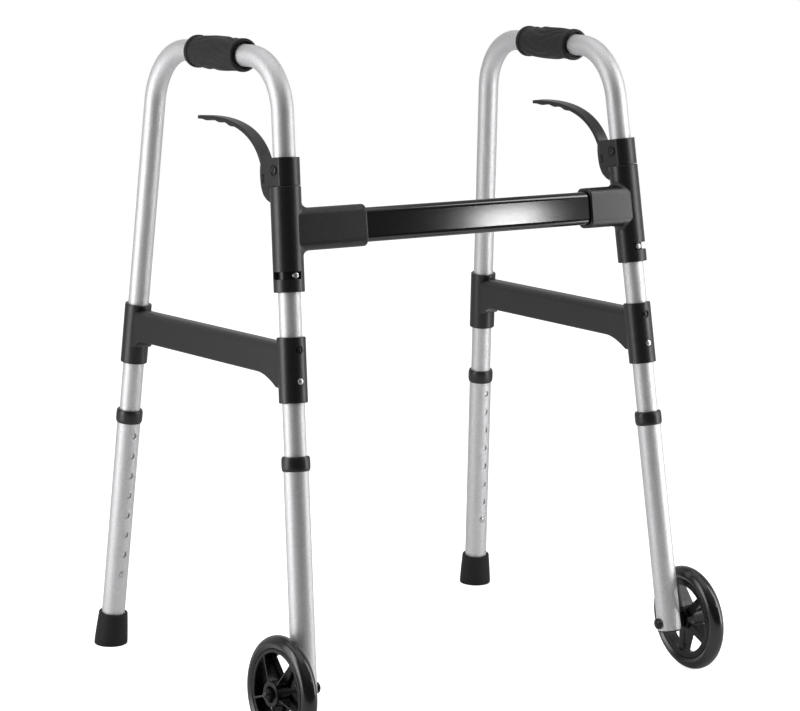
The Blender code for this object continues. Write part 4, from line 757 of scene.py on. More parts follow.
def frame_path():
    """Centre line of the bent tube, from the foot of its front leg to its rear one."""
    front = ((0.0, 0.0), (sin(FRONT_RAKE), cos(FRONT_RAKE)))
    top = ((GRIP_SETBACK, GRIP_HEIGHT), (cos(TOP_RISE), -sin(TOP_RISE)))
    rear = ((BASE_LENGTH, 0.0), (-sin(REAR_RAKE), cos(REAR_RAKE)))
    first = tuple(front[1][k] * (FRONT_BUTTON - INNER_TAIL) for k in (0, 1))
    last = tuple(rear[0][k] + rear[1][k] * (REAR_BUTTON - INNER_TAIL) for k in (0, 1))
    front_corner = meeting_point(*front, *top)
    rear_corner = meeting_point(*rear, *top)
    path = [(Vector(first), Vector(front[1]))]
    path += bend_points(first, front_corner, rear_corner)
    path += bend_points(front_corner, rear_corner, last)
    path.append((Vector(last), -Vector(rear[1])))
    return path


def swept_tube(path, outer_radius, inner_radius):
    """Tube along a path in the plane X = 0."""
    bm = bmesh.new()
    walls = []
    for radius in (outer_radius, inner_radius):
        rings = []
        for centre, heading in path:
            side = Vector((heading.y, -heading.x)) * radius
            rings.append([bm.verts.new((radius * c, centre.x + side.x * s, centre.y + side.y * s))
                          for c, s in circle(TUBE_SIDES)])
        walls.append(rings)
    for rings in walls:
        for first, second in zip(rings, rings[1:]):
            bridge(bm, first, second)
    for end in (0, -1):
        bridge(bm, walls[0][end], walls[1][end])
    return new_mesh(bm)


def frame_tube():
    """One tube bent over the top of the side frame."""
    return moved(swept_tube(frame_path(), FRAME_RADIUS, FRAME_RADIUS - FRAME_WALL), TO_SIDE)


def painted_shade_band():
    """Thin black sheet on the tube in the housing: painted shade on the tube where it shows in the
    stop slot and the gap under the bracket.
    """
    low, high = HOUSING_LOW + SHADE_BAND_INSET, BRACKET_LOW + SHADE_BAND_INSET
    return combined(cylinder(FRAME_RADIUS + SHADE_BAND_THICKNESS, low, high),
                    [cylinder(FRAME_RADIUS - SHADE_BAND_THICKNESS, low - OVERCUT, high + OVERCUT)])


def flute(angle, along):
    """Depth of the arched flutes of the grip's body at an angle and a place along it."""
    sway, ripple = (strength * sin(turns_round * angle + turns_along * along)
                    for strength, turns_round, turns_along in (FLUTE_SWAY, FLUTE_RIPPLE))
    arch = FLUTE_BOW * cos(pi * along) + sway
    wave = cos(GRIP_FLUTES * (angle + arch) + ripple)
    fade = max(0.0, 1.0 - abs(along) ** FLUTE_FADE)
    return GRIP_FLUTE_DEPTH * fade * (0.5 + 0.5 * wave) ** FLUTE_SHARPNESS


def hand_grip():
    """Moulded grip: crowned and fluted body, a rounded flange at each end, open mouths."""
    half = GRIP_LENGTH / 2.0
    flange_foot = half - GRIP_FLANGE
    lip = GRIP_FLANGE_ROUND
    neck = GRIP_FLANGE_RADIUS - SOFT_EDGE
    front = [(GRIP_MOUTH_RADIUS, -half)]
    front += arc((GRIP_FLANGE_RADIUS - lip, lip - half), lip, -90, 0, ROUND_STEPS)
    front += arc((neck, -flange_foot - SOFT_EDGE), SOFT_EDGE, 0, 90, steps=4)
    body = []
    for along in evenly(-1.0, 1.0, steps=72):
        crown = max(0.0, cos(0.5 * pi * along)) ** GRIP_CROWN_POWER
        blend = max(0.0, 1.0 - (1.0 - abs(along)) * flange_foot / GRIP_NECK_BLEND) ** 2
        body.append((GRIP_NECK_RADIUS + (GRIP_CROWN_RADIUS - GRIP_NECK_RADIUS) * crown
                     + (neck - GRIP_NECK_RADIUS) * blend, along * flange_foot))
    bore = [(GRIP_MOUTH_RADIUS, half - GRIP_MOUTH_DEPTH), (SLEEVE_BORE, half - GRIP_MOUTH_DEPTH),
            (SLEEVE_BORE, GRIP_MOUTH_DEPTH - half), (GRIP_MOUTH_RADIUS, GRIP_MOUTH_DEPTH - half)]
    mesh = lathe(front + body + flipped(front) + bore, 2 * TUBE_SIDES)
    for vertex in mesh.vertices:
        x, y, z = vertex.co
        radius = hypot(x, y)
        if abs(z) < flange_foot and radius > GRIP_MOUTH_RADIUS + TOUCH:
            share = 1.0 - flute(atan2(y, x), z / flange_foot) / radius
            vertex.co = (x * share, y * share, z)
    tilt = Matrix.Rotation(-TOP_RISE, 4, "X") @ TO_REAR
    return moved(mesh, TO_SIDE @ at(y=GRIP_SETBACK, z=GRIP_HEIGHT) @ tilt)


# Hinge housing, crossbar and stop screw

def arm_outline():
    """Points round the socket arm, each with the direction that faces outwards there."""
    corners = rounded_outline(-ARM_HALF_DEPTH, ARM_HALF_DEPTH, -ARM_HALF_HEIGHT, ARM_HALF_HEIGHT,
                              ARM_ROUND, ARM_ROUND)
    points = []
    for i, (y, z) in enumerate(corners):
        next_y, next_z = corners[(i + 1) % len(corners)]
        parts = max(1, round(hypot(next_y - y, next_z - z) / ARM_FACET))
        points += [Vector((0.0, y + (next_y - y) * k / parts, z + (next_z - z) * k / parts))
                   for k in range(parts)]
    outline = []
    for i, point in enumerate(points):
        along = points[(i + 1) % len(points)] - points[i - 1]
        outward = Vector((0.0, -along.z, along.y)).normalized()
        outline.append((point, outward if outward.dot(point) > 0.0 else -outward))
    return outline


def root_arc(foot, outward, inward, radius):
    """Arc that a ball leaves where it rolls between a line along the arm and the round sleeve."""
    centre = foot + outward * radius
    a = inward.x ** 2 + inward.y ** 2
    b = 2.0 * (centre.x * inward.x + centre.y * inward.y)
    c = centre.x ** 2 + centre.y ** 2 - (HOUSING_RADIUS - ROOT_SINK + radius) ** 2
    centre = centre + inward * ((-b + sqrt(b * b - 4.0 * a * c)) / (2.0 * a))
    across = -Vector((centre.x, centre.y, 0.0)).normalized()
    arc_points = [centre + (-outward).slerp(across, share) * radius
                  for share in evenly(0.0, 1.0, ROOT_STEPS)]
    end = arc_points[-1]
    return arc_points + [Vector((end.x * share, end.y * share, end.z)) for share in ROOT_ENDS]


def socket_arm(mouth, to_leg):
    """Arm that holds the crossbar, with a fillet into the hinge sleeve, in the leg's frame."""
    outline = arm_outline()
    rings = []
    for angle in evenly(0.0, pi / 2.0, steps=4):
        x = mouth + ARM_END_ROUND * (1.0 - cos(angle))
        inset = ARM_END_ROUND * (1.0 - sin(angle))
        rings.append([to_leg @ (point - outward * inset + ACROSS * x)
                      for point, outward in outline])
    turn = to_leg.to_3x3()
    arcs = []
    for point, outward in outline:
        share = 0.5 + 0.5 * point.z / ARM_HALF_HEIGHT
        radius = ARM_LOW_FILLET + (ARM_TOP_FILLET - ARM_LOW_FILLET) * share
        foot = to_leg @ (point + ACROSS * HINGE_POINT.x)
        arcs.append(root_arc(foot, turn @ outward, turn @ -ACROSS, radius))
    rings += [[line[i] for line in arcs] for i in range(len(arcs[0]))]
    return loft(rings)


def bar_outline(margin):
    """Outline of the crossbar grown by a margin."""
    depth, height, corner = (size + margin for size in (BAR_HALF_DEPTH, BAR_HALF_HEIGHT, BAR_ROUND))
    return rounded_outline(-depth, depth, -height, height, corner, corner, steps=10)


def groove(inner, low, high, start, end):
    """Cutter for a track round the sleeve, between two angles in degrees."""
    outer = HOUSING_RADIUS + OVERCUT
    sections = []
    for c, s in arc((0.0, 0.0), 1.0, start, end, int((end - start) / DEGREES_PER_FACET)):
        sections.append([(inner * c, inner * s, low), (outer * c, outer * s, low),
                         (outer * c, outer * s, high), (inner * c, inner * s, high)])
    return loft(sections)


def hinge_housing(side):
    """Sleeve that turns on the front leg, with its socket arm, stop slot and lock track."""
    mouth = ARM_MOUTH[side]
    to_leg = FRONT_LEG.inverted() @ CROSSBAR
    arm = socket_arm(mouth, to_leg)
    bore = cylinder(SLEEVE_BORE, HOUSING_LOW - OVERCUT, HOUSING_TOP + OVERCUT)
    pocket = moved(extruded(bar_outline(TOUCH), mouth - OVERCUT, BAR_HALF_LENGTH + TOUCH),
                   to_leg)
    head = STOP_HEAD_RADIUS + TOUCH
    half_angle = degrees(asin(head / FRAME_RADIUS))
    slot = groove(FRAME_RADIUS - OVERCUT, STOP_SLOT_HEIGHT - head,
                  STOP_SLOT_HEIGHT + head, FRONTWARDS - half_angle,
                  FRONTWARDS + max(FOLDS.values()) + half_angle)
    reach = HOUSING_RADIUS - TOOTH_ENGAGEMENT
    tooth_angle = degrees(asin((TOOTH_HALF_WIDTH + 2 * TOUCH) / reach))
    track = groove(reach - TRACK_GAP, TOOTH_MIDDLE - TOOTH_HEIGHT / 2.0 - TOUCH * 2,
                   TOOTH_MIDDLE + TOOTH_HEIGHT / 2.0 + TOUCH * 2, REARWARDS - tooth_angle,
                   REARWARDS + FOLDS[side] + tooth_angle)
    rivet = moved(cylinder(SCREW_SHANK_RADIUS + TOUCH, 0.0, DRILL_REACH,
                           at(x=BAR_RIVET_REACH) @ TO_REAR, SCREW_SIDES), to_leg)
    solid = combined(sleeve(HOUSING_RADIUS, HOUSING_LOW, HOUSING_TOP, HOUSING_CHAMFER),
                     [bore, pocket, slot, track, rivet], [arm])
    return eased(solid, FINE_EDGE)


def crossbar():
    """Flat-oval tube between the two housings."""
    places = evenly(-BAR_HALF_LENGTH, BAR_HALF_LENGTH, steps=24)
    outer = [[(x, y, z) for y, z in bar_outline(0.0)] for x in places]
    inner = [[(x, y, z) for y, z in bar_outline(-BAR_WALL)] for x in reversed(places)]
    return loft(outer + inner, closed=True)


def crossbar_rivet():
    """Rivet that holds the crossbar in its socket, from the rear."""
    seat = ARM_HALF_DEPTH + TOUCH
    rivet = fastener(RIVET_HEAD_RADIUS, seat, seat + BAR_RIVET_HEAD, BAR_HALF_DEPTH - SHANK_DEPTH)
    return moved(rivet, at(x=BAR_RIVET_REACH) @ TO_REAR)


def stop_screw():
    """Pan-head screw in the tube that runs in the housing's slot and stops the fold."""
    screw = fastener(STOP_HEAD_RADIUS, FRAME_RADIUS + TOUCH, HOUSING_RADIUS - 2 * TOUCH,
                     cross=True)
    return moved(screw, at(z=STOP_SLOT_HEIGHT) @ TO_FRONT)


# Release lever and the bracket that carries it

def bracket_outline():
    """Top view of the bracket: round in front, flat-sided, square at the rear."""
    angle = degrees(asin(BRACKET_HALF_WIDTH / BRACKET_RADIUS))
    flat = BRACKET_HALF_WIDTH - BRACKET_ROUND
    points = arc((0.0, 0.0), BRACKET_RADIUS, FRONTWARDS - angle, FRONTWARDS + angle, steps=28)
    for x, start in ((flat, 0), (-flat, 90)):
        points += arc((x, BRACKET_REAR - BRACKET_ROUND), BRACKET_ROUND, start, start + 90, steps=5)
    return points


def lever_bracket():
    """Collar bolted to the front leg, with two ears for the lever's pivot."""
    top = BRACKET_LOW + BRACKET_HEIGHT
    base = loft([[(x, y, z) for x, y in bracket_outline()] for z in (BRACKET_LOW, top)])
    slot = LEVER_HALF_WIDTH + TOUCH
    across = BRACKET_HALF_WIDTH + OVERCUT
    cuts = [cylinder(SLEEVE_BORE, BRACKET_LOW - OVERCUT, top + OVERCUT),
            box((-slot, LEVER_SLOT_FRONT, BRACKET_LOW - OVERCUT),
                (slot, BRACKET_REAR + OVERCUT, top + OVERCUT)),
            drill(BOLT_RADIUS + TOUCH, BOLT_HEIGHT, TO_OUTBOARD, -DRILL_REACH),
            cylinder(PIVOT_RADIUS + TOUCH, -across, across, PIVOT @ TO_OUTBOARD, SCREW_SIDES)]
    for facing in (TO_OUTBOARD, TO_INBOARD):
        for radius, depth, centre in (
                (BOLT_RECESS_RADIUS, BOLT_RECESS_DEPTH, BOLT),
                (PIVOT_RECESS_RADIUS, PIVOT_RECESS_DEPTH, PIVOT)):
            cuts.append(cylinder(radius, BRACKET_HALF_WIDTH - depth, across, centre @ facing,
                                 AXLE_SIDES))
    return eased(combined(base, cuts), EDGE)


def two_headed_pin(shank_radius, head_radius, seat, top):
    """Outline of a pin with a domed head at both ends, along Z."""
    upper = domed_head(shank_radius, head_radius, 0.0, seat, top)[2:]
    return flipped(upper) + upper


def bracket_bolt():
    """Bolt through the bracket and the tube."""
    seat = BRACKET_HALF_WIDTH - BOLT_RECESS_DEPTH + TOUCH
    profile = two_headed_pin(BOLT_RADIUS, BOLT_HEAD_RADIUS, seat, seat + BOLT_HEAD)
    return lathe(profile, AXLE_SIDES, BOLT @ TO_OUTBOARD)


def pivot_pin():
    """Pin that the release lever turns on."""
    seat = BRACKET_HALF_WIDTH - PIVOT_RECESS_DEPTH + TOUCH
    profile = two_headed_pin(PIVOT_RADIUS, PIVOT_HEAD_RADIUS, seat, seat + PIVOT_HEAD)
    return lathe(profile, AXLE_SIDES, PIVOT @ TO_OUTBOARD)


def lever_curve(share):
    """Point and heading on the middle line of the strap, from the body to the tip."""
    keep = 1.0 - share
    weights = (keep ** 3, 3 * keep ** 2 * share, 3 * keep * share ** 2, share ** 3)
    controls = [Vector(point) for point in LEVER_CURVE]
    slopes = (keep ** 2, 2 * keep * share, share ** 2)
    steps = [there - here for here, there in zip(controls, controls[1:])]
    point, heading = (sum((vector * amount for vector, amount in zip(vectors, amounts)),
                          Vector((0.0, 0.0)))
                      for vectors, amounts in ((controls, weights), (steps, slopes)))
    return point, heading.normalized()


def bump_height(share):
    """Depth of the finger bumps under the strap."""
    start, end = LEVER_BUMP_SPAN
    if not start < share < end:
        return 0.0
    return LEVER_BUMP * sin(pi * LEVER_BUMPS * (share - start) / (end - start)) ** 2


def lever_strap():
    """Curved strap of the lever, with scalloped finger bumps under its rounded tip."""
    root, tip = LEVER_THICKNESS
    sections = []
    for share in evenly(0.0, 1.0, steps=96):
        point, heading = lever_curve(share)
        up = Vector((-heading.y, heading.x))
        half = (root + (tip - root) * share) / 2.0
        past = max(0.0, share - LEVER_TIP_SHARE) / (1.0 - LEVER_TIP_SHARE)
        shrink = sqrt(1.0 - LEVER_TIP_SHRINK * past ** 2)
        low = (half + bump_height(share)) * shrink
        width, edge = LEVER_HALF_WIDTH * shrink, LEVER_EDGE * shrink
        outline = rounded_outline(-width, width, -low, half * shrink, edge, edge, steps=3)
        sections.append([(x, point.x + up.x * z, point.y + up.y * z) for x, z in outline])
    return loft(sections)


def smoothed(outline):
    """Closed outline with its corners cut again and again into a smooth curve."""
    points = [Vector(point) for point in outline]
    for _ in range(CORNER_ROUNDS):
        cut = []
        for here, there in zip(points, points[1:] + points[:1]):
            cut += [here.lerp(there, CORNER_CUT), here.lerp(there, 1.0 - CORNER_CUT)]
        points = cut
    return [tuple(point) for point in points]


def release_lever():
    """Hand lever: strap, lower body, spring pocket and lock tooth."""
    outline = smoothed([(LEVER_FRONT - TOE_GAP, TOE_BOTTOM), *LEVER_BODY,
                        (LEVER_FRONT, BRACKET_WALL)])
    body = extruded(outline, -LEVER_HALF_WIDTH, LEVER_HALF_WIDTH)
    pocket_rear, pocket_half_height = SPRING_POCKET
    pocket_half = SPRING_TURNS * SPRING_WIRE * 2.0 + SPRING_POCKET_SIDE
    pocket = box((-pocket_half, -PIVOT_SETBACK, -pocket_half_height),
                 (pocket_half, pocket_rear, pocket_half_height))
    hug = cylinder(TOE_RADIUS, TOE_BOTTOM - OVERCUT, BRACKET_LOW - PIVOT_HEIGHT + OVERCUT,
                   at(y=-PIVOT_SETBACK), 2 * TUBE_SIDES)
    hole = cylinder(PIVOT_RADIUS + RUNNING_GAP, -DRILL_REACH, DRILL_REACH, TO_OUTBOARD,
                    AXLE_SIDES)
    middle = TOOTH_MIDDLE - PIVOT_HEIGHT
    tooth = box((-TOOTH_HALF_WIDTH, HOUSING_RADIUS - TOOTH_ENGAGEMENT - PIVOT_SETBACK,
                 middle - TOOTH_HEIGHT / 2.0),
                (TOOTH_HALF_WIDTH, TOE_RADIUS + TOOTH_ROOT - PIVOT_SETBACK,
                 middle + TOOTH_HEIGHT / 2.0))
    shaped = combined(eased(body, EDGE), [hug, pocket, hole], [lever_strap()])
    return gathered([shaped, eased(tooth, FINE_EDGE)])


def lever_spring():
    """Torsion spring on the pivot pin that returns the lever."""
    steps_per_turn = 24
    sides = 10
    start_x = -SPRING_PITCH * SPRING_TURNS / 2.0
    points = [Vector((start_x, LEVER_FRONT, SPRING_COIL_RADIUS))]
    for i in range(steps_per_turn * SPRING_TURNS + 1):
        angle = pi / 2.0 - tau * i / steps_per_turn
        points.append(Vector((start_x + SPRING_PITCH * i / steps_per_turn,
                              SPRING_COIL_RADIUS * cos(angle),
                              SPRING_COIL_RADIUS * sin(angle))))
    points.append(Vector((-start_x, SPRING_LEG, SPRING_COIL_RADIUS)))
    sections = []
    for i, point in enumerate(points):
        heading = (points[min(i + 1, len(points) - 1)] - points[max(i - 1, 0)]).normalized()
        across = heading.cross(ACROSS).normalized()
        other = heading.cross(across)
        sections.append([point + (across * c + other * s) * SPRING_WIRE
                         for c, s in circle(sides)])
    return moved(loft(sections), PIVOT)


# Side brace

def brace_top(rear):
    """Height of the brace's top edge at a distance behind the front leg's foot."""
    return BRACE_TOP_AT_FRONT - BRACE_SLOPE * rear


def flare_drop(flare, distance):
    """Drop of a curved flare at a distance from the sleeve that it runs into."""
    length, depth = flare
    if distance >= length:
        return 0.0
    return depth * ((length - max(distance, 0.0)) / length) ** FLARE_POWER


def brace_stations():
    """Places along the brace, closer together where its lower edge flares."""
    height = brace_top(BASE_LENGTH / 2.0) - BRACE_HEIGHT
    front = height * tan(FRONT_RAKE)
    rear = BASE_LENGTH - height * tan(REAR_RAKE)
    front_wall, rear_wall = front + BRACE_SLEEVE_RADIUS, rear - BRACE_SLEEVE_RADIUS
    shares = [share ** FLARE_POWER for share in evenly(0.0, 1.0, steps=16)]
    places = [front] + [front_wall + FRONT_FLARE[0] * share for share in shares]
    places += [rear_wall - REAR_FLARE[0] * share for share in reversed(shares)] + [rear]
    return [(place, front_wall, rear_wall) for place in places]


def brace_section(place, front_wall, rear_wall, wall=0.0):
    """Outline of the brace's bar, or of its hollow, at a place along it."""
    top = brace_top(place)
    low = top - BRACE_HEIGHT
    low -= flare_drop(FRONT_FLARE, place - front_wall) + flare_drop(REAR_FLARE, rear_wall - place)
    half = BRACE_HALF_WIDTH - wall
    low -= OVERCUT if wall else 0.0
    outline = rounded_outline(-half, half, low, top - wall, BRACE_LOW_ROUND, BRACE_TOP_ROUND - wall)
    return [(x, place, z) for x, z in outline]


def side_brace():
    """Moulded brace: a sleeve on each leg and a ribbed channel between them."""
    stations = brace_stations()
    bar = loft([brace_section(*station) for station in stations])
    _, front_wall, rear_wall = stations[0]
    start, end = front_wall + BRACE_WALL, rear_wall - BRACE_WALL
    pitch = (end - start - BRACE_RIBS * BRACE_WALL) / (BRACE_RIBS + 1)
    cells = []
    for i in range(BRACE_RIBS + 1):
        low = start + i * (pitch + BRACE_WALL)
        cells.append(loft([brace_section(place, front_wall, rear_wall, BRACE_WALL)
                           for place in (low, low + pitch)]))
    to_front_leg = Matrix.Rotation(-FRONT_RAKE, 4, "X")
    to_rear_leg = at(y=BASE_LENGTH) @ Matrix.Rotation(REAR_RAKE, 4, "X")
    sleeves, bores, holes = [], [], []
    for low, matrix, facing in ((BRACE_FRONT_LOW, to_front_leg, TO_FRONT),
                                (BRACE_REAR_LOW, to_rear_leg, TO_REAR)):
        top = low + BRACE_SLEEVE_HEIGHT
        sleeves.append(moved(sleeve(BRACE_SLEEVE_RADIUS, low, top, BRACE_SLEEVE_CHAMFER), matrix))
        bores.append(cylinder(SLEEVE_BORE, low - OVERCUT, top + OVERCUT, matrix))
        holes += [moved(mesh, matrix) for mesh in brace_fastener_cutters(low, facing)]
    whole = combined(combined(bar, cells), bores + holes, sleeves)
    return moved(eased(whole, FINE_EDGE), Matrix.Rotation(FRONT_RAKE, 4, "X"))


# Lower legs

def leg_collar(top):
    """Barrel-shaped collar on the mouth of an outer leg, with a lip over its end."""
    low = top - LEG_COLLAR_HEIGHT
    waist = LEG_COLLAR_RADIUS - LEG_COLLAR_TAPER
    outer = []
    for share in evenly(0.0, 1.0, steps=16):
        bulge = 1.0 - (2.0 * share - 1.0) ** LEG_COLLAR_POWER
        outer.append((waist + LEG_COLLAR_TAPER * bulge, low + LEG_COLLAR_HEIGHT * share))
    bore = [(SLEEVE_BORE, top), (SLEEVE_BORE, top - LEG_COLLAR_LIP),
            (LEG_SEAT, top - LEG_COLLAR_LIP), (LEG_SEAT, low)]
    return lathe(softened(outer + bore, EDGE), TUBE_SIDES)


def outer_leg(low, collar_top, facing, cuts=()):
    """Outer leg tube with its row of adjustment holes."""
    top = collar_top - LEG_COLLAR_LIP - TOUCH
    path = [(Vector((0.0, height)), Vector((0.0, 1.0))) for height in (low, top)]
    holes = [drill(HOLE_RADIUS, collar_top - HOLE_DROP - i * HOLE_PITCH, facing)
             for i in range(HOLE_COUNT)]
    return combined(swept_tube(path, LEG_RADIUS, LEG_INNER), holes + list(cuts))


def front_leg():
    """Front outer leg, drilled for the axle."""
    axle = drill(AXLE_RADIUS + TOUCH, AXLE_ON_LEG, TO_OUTBOARD, -DRILL_REACH)
    return outer_leg(AXLE_ON_LEG - AXLE_TO_TUBE_END, FRONT_COLLAR_TOP, TO_REAR, [axle])


def rear_leg():
    """Rear outer leg, which stands in its rubber tip."""
    return outer_leg(TIP_FLOOR + TOUCH, REAR_COLLAR_TOP, TO_FRONT)


def snap_clip(facing):
    """Spring clip inside the tube: a bent strip with a domed button."""
    wall = FRAME_RADIUS - FRAME_WALL
    half_width = CLIP_WIDTH / 2.0
    reach = sqrt(wall ** 2 - half_width ** 2) - TOUCH
    t = CLIP_THICKNESS
    half = [(reach - t, -CLIP_TAIL), (reach, -CLIP_TAIL), (reach, CLIP_TAIL), (t, CLIP_LENGTH)]
    outline = half[1:] + [(-y, z) for y, z in reversed(half)]
    outline += [(t - reach, CLIP_TAIL), (0.0, CLIP_LENGTH - CLIP_NOSE), (reach - t, CLIP_TAIL),
                (reach - t, -CLIP_TAIL)]
    strip = extruded(softened(outline, CLIP_NOSE), -half_width, half_width)
    profile = domed_head(BUTTON_RADIUS - TOUCH / 2.0, BUTTON_RADIUS, reach - t / 2.0,
                         LEG_RADIUS - BUTTON_EDGE, LEG_RADIUS + BUTTON_STANDOUT)
    clip = gathered([strip, lathe(profile, AXLE_SIDES, TO_REAR)])
    if facing == "front":
        clip.transform(Matrix.Rotation(pi, 4, "Z"))
    return clip


def rear_tip():
    """Flared rubber tip with a rounded top, cut level with the floor."""
    low = -TIP_FOOT_RADIUS
    outer = [(TIP_FOOT_RADIUS, low), (TIP_FOOT_RADIUS, TIP_FOOT), (TIP_WAIST_RADIUS, TIP_WAIST)]
    top = arc((TIP_TOP_RADIUS - TIP_LIP, TIP_HEIGHT - TIP_LIP), TIP_LIP, 0, 90, ROUND_STEPS)
    inner = [(LEG_SEAT, TIP_HEIGHT), (LEG_SEAT, TIP_FLOOR), (0.0, TIP_FLOOR)]
    bm = bmesh.new()
    bm.from_mesh(lathe([(0.0, low)] + outer + top + inner, TUBE_SIDES))
    to_leg = REAR_LEG.inverted()
    floor_point = to_leg @ Vector((REAR_LEG.translation.x, REAR_LEG.translation.y, 0.0))
    floor_normal = to_leg.to_3x3() @ UP
    cut = bmesh.ops.bisect_plane(bm, geom=bm.verts[:] + bm.edges[:] + bm.faces[:],
                                 plane_co=floor_point, plane_no=floor_normal, clear_inner=True)
    rim = [item for item in cut["geom_cut"] if isinstance(item, bmesh.types.BMEdge)]
    bmesh.ops.edgeloop_fill(bm, edges=rim)
    return eased(new_mesh(bm), SOFT_EDGE, segments=4)


# Wheel

def spoke(turn):
    """Spoke: a plate with a fin on its outboard face, spread where it meets hub and rim."""
    low, high = HUB_RADIUS - SPOKE_ROOT, RIM_RADIUS - SPOKE_ROOT
    sections = []
    for share in evenly(0.0, 1.0, steps=14):
        width, inner, outer, ridge = (at_hub + (at_rim - at_hub) * share for at_hub, at_rim in (
            SPOKE_WIDTH, SPOKE_INNER_FACE, SPOKE_OUTER_FACE, SPOKE_RIDGE))
        to_end = max(0.0, *(1.0 - part / SPOKE_SPREAD_SHARE for part in (share, 1.0 - share)))
        spread = SPOKE_SPREAD * to_end ** 2
        half = width / 2.0 + spread
        fin = (SPOKE_FIN + spread) / 2.0
        right = [(half, inner), (half, outer), (fin, outer), (fin, ridge)]
        outline = softened([(-half, inner)] + right + [(-y, z) for y, z in reversed(right[1:])],
                           EDGE, steps=2)
        reach = low + (high - low) * share
        sections.append([turn @ Vector((reach, y, z)) for y, z in outline])
    return loft(sections)


def wheel_rim(phase):
    """Spoked wheel body with its hub, in the wheel's frame."""
    half = RIM_WIDTH / 2.0
    inner_end, outer_end = HUB_INNER_END - WHEEL_OFFSET, HUB_OUTER_END - WHEEL_OFFSET
    band = lathe(softened([(RIM_OPENING[0], -half), (RIM_RADIUS, -half), (RIM_RADIUS, half),
                           (RIM_OPENING[1], half)], SOFT_EDGE), WHEEL_SIDES)
    hub = sleeve(HUB_RADIUS, inner_end, outer_end, SOFT_EDGE)
    spokes = [spoke(Matrix.Rotation(phase + tau * i / SPOKE_COUNT, 4, "Z"))
              for i in range(SPOKE_COUNT)]
    cuts = [cylinder(BUSHING_RADIUS + TOUCH, inner_end - OVERCUT, outer_end + OVERCUT,
                     sides=AXLE_SIDES),
            cylinder(HUB_RECESS_RADIUS, outer_end - HUB_RECESS_DEPTH, outer_end + OVERCUT,
                     sides=AXLE_SIDES)]
    whole = combined(band, cuts, [hub] + spokes)
    return moved(eased(whole, FINE_EDGE), at(x=WHEEL_OFFSET) @ TO_OUTBOARD)


def tyre():
    """Round-section tyre, its bead edges rounded."""
    seat = RIM_RADIUS + TOUCH
    profile = [(seat, -TYRE_BASE / 2.0), (seat, TYRE_BASE / 2.0)]
    profile += [(radius, width) for width, radius in
                arc((0.0, WHEEL_RADIUS - TYRE_ROUND), TYRE_ROUND, 0, 180, steps=36)]
    return lathe(softened(profile, EDGE), WHEEL_SIDES, at(x=WHEEL_OFFSET) @ TO_OUTBOARD)


def axle_bolt():
    """Axle bolt with a domed head on the inboard side of the leg."""
    seat = LEG_RADIUS + TOUCH
    end = NUT_SEAT + NUT_HEX
    head = flipped(domed_head(AXLE_RADIUS, AXLE_HEAD_RADIUS, 0.0, seat, seat + AXLE_HEAD)[2:])
    return lathe(head + [(AXLE_RADIUS, end), (0.0, end)], AXLE_SIDES, AXLE @ TO_OUTBOARD)


def axle_nut():
    """Domed hexagon nut on the end of the axle."""
    foot = NUT_SEAT + NUT_HEX
    hexagon = eased(cylinder(NUT_RADIUS, NUT_SEAT, foot, sides=NUT_SIDES), EDGE)
    curve = arc((0.0, 0.0), 1.0, 0, 90, steps=8)[:-1]
    dome = lathe([(0.0, foot - NUT_OVERLAP), (NUT_DOME_RADIUS, foot - NUT_OVERLAP)]
                 + [(NUT_DOME_RADIUS * x, foot + NUT_DOME * y) for x, y in curve]
                 + [(0.0, foot + NUT_DOME)], AXLE_SIDES)
    return moved(gathered([hexagon, dome]), AXLE @ TO_OUTBOARD)


# Materials

def add_node(tree, kind, inputs=(), **settings):
    """New shader node; each of its inputs is a value, or the output of a node that feeds it."""
    node = tree.nodes.new("ShaderNode" + kind)
    for name, value in settings.items():
        setattr(node, name, value)
    return feed(tree, node, inputs)


def feed(tree, node, inputs):
    """Set or connect the inputs of a node."""
    for socket, value in dict(inputs).items():
        if isinstance(value, bpy.types.NodeSocket):
            tree.links.new(value, node.inputs[socket])
        else:
            node.inputs[socket].default_value = value
    return node


def noise(tree, size, detail):
    """Noise over the object, in grains of a size."""
    place = add_node(tree, "TexCoord").outputs["Object"]
    inputs = {"Vector": place, "Scale": 1.0 / size, "Detail": detail}
    return add_node(tree, "TexNoise", inputs).outputs["Fac"]


def finish(name, colour, roughness, metallic=0.0, grain=0.0008, depth=0.00002, cloud=0.03,
           shade=0.08, gloss_spread=0.06, specular=0.5):
    """Procedural material: cloudy colour, grain in its gloss and a fine relief."""
    material = bpy.data.materials.new(name)
    material.use_nodes = True
    tree = material.node_tree
    fine, broad = noise(tree, grain, detail=3.0), noise(tree, cloud, detail=2.0)
    ramp = add_node(tree, "ValToRGB", {"Fac": broad})
    for element, position, share in zip(ramp.color_ramp.elements, NOISE_SPAN,
                                        (1.0 - shade, 1.0 + shade)):
        element.position = position
        element.color = tuple(c * share for c in colour) + (1.0,)
    gloss = add_node(tree, "MapRange", {
        "Value": fine, "From Min": NOISE_SPAN[0], "From Max": NOISE_SPAN[1],
        "To Min": roughness - gloss_spread, "To Max": roughness + gloss_spread})
    bump = add_node(tree, "Bump", {"Height": fine, "Strength": 1.0, "Distance": depth})
    feed(tree, tree.nodes["Principled BSDF"], {
        "Metallic": metallic, "Specular IOR Level": specular, "Base Color": ramp.outputs["Color"],
        "Roughness": gloss.outputs["Result"], "Normal": bump.outputs["Normal"]})
    return material


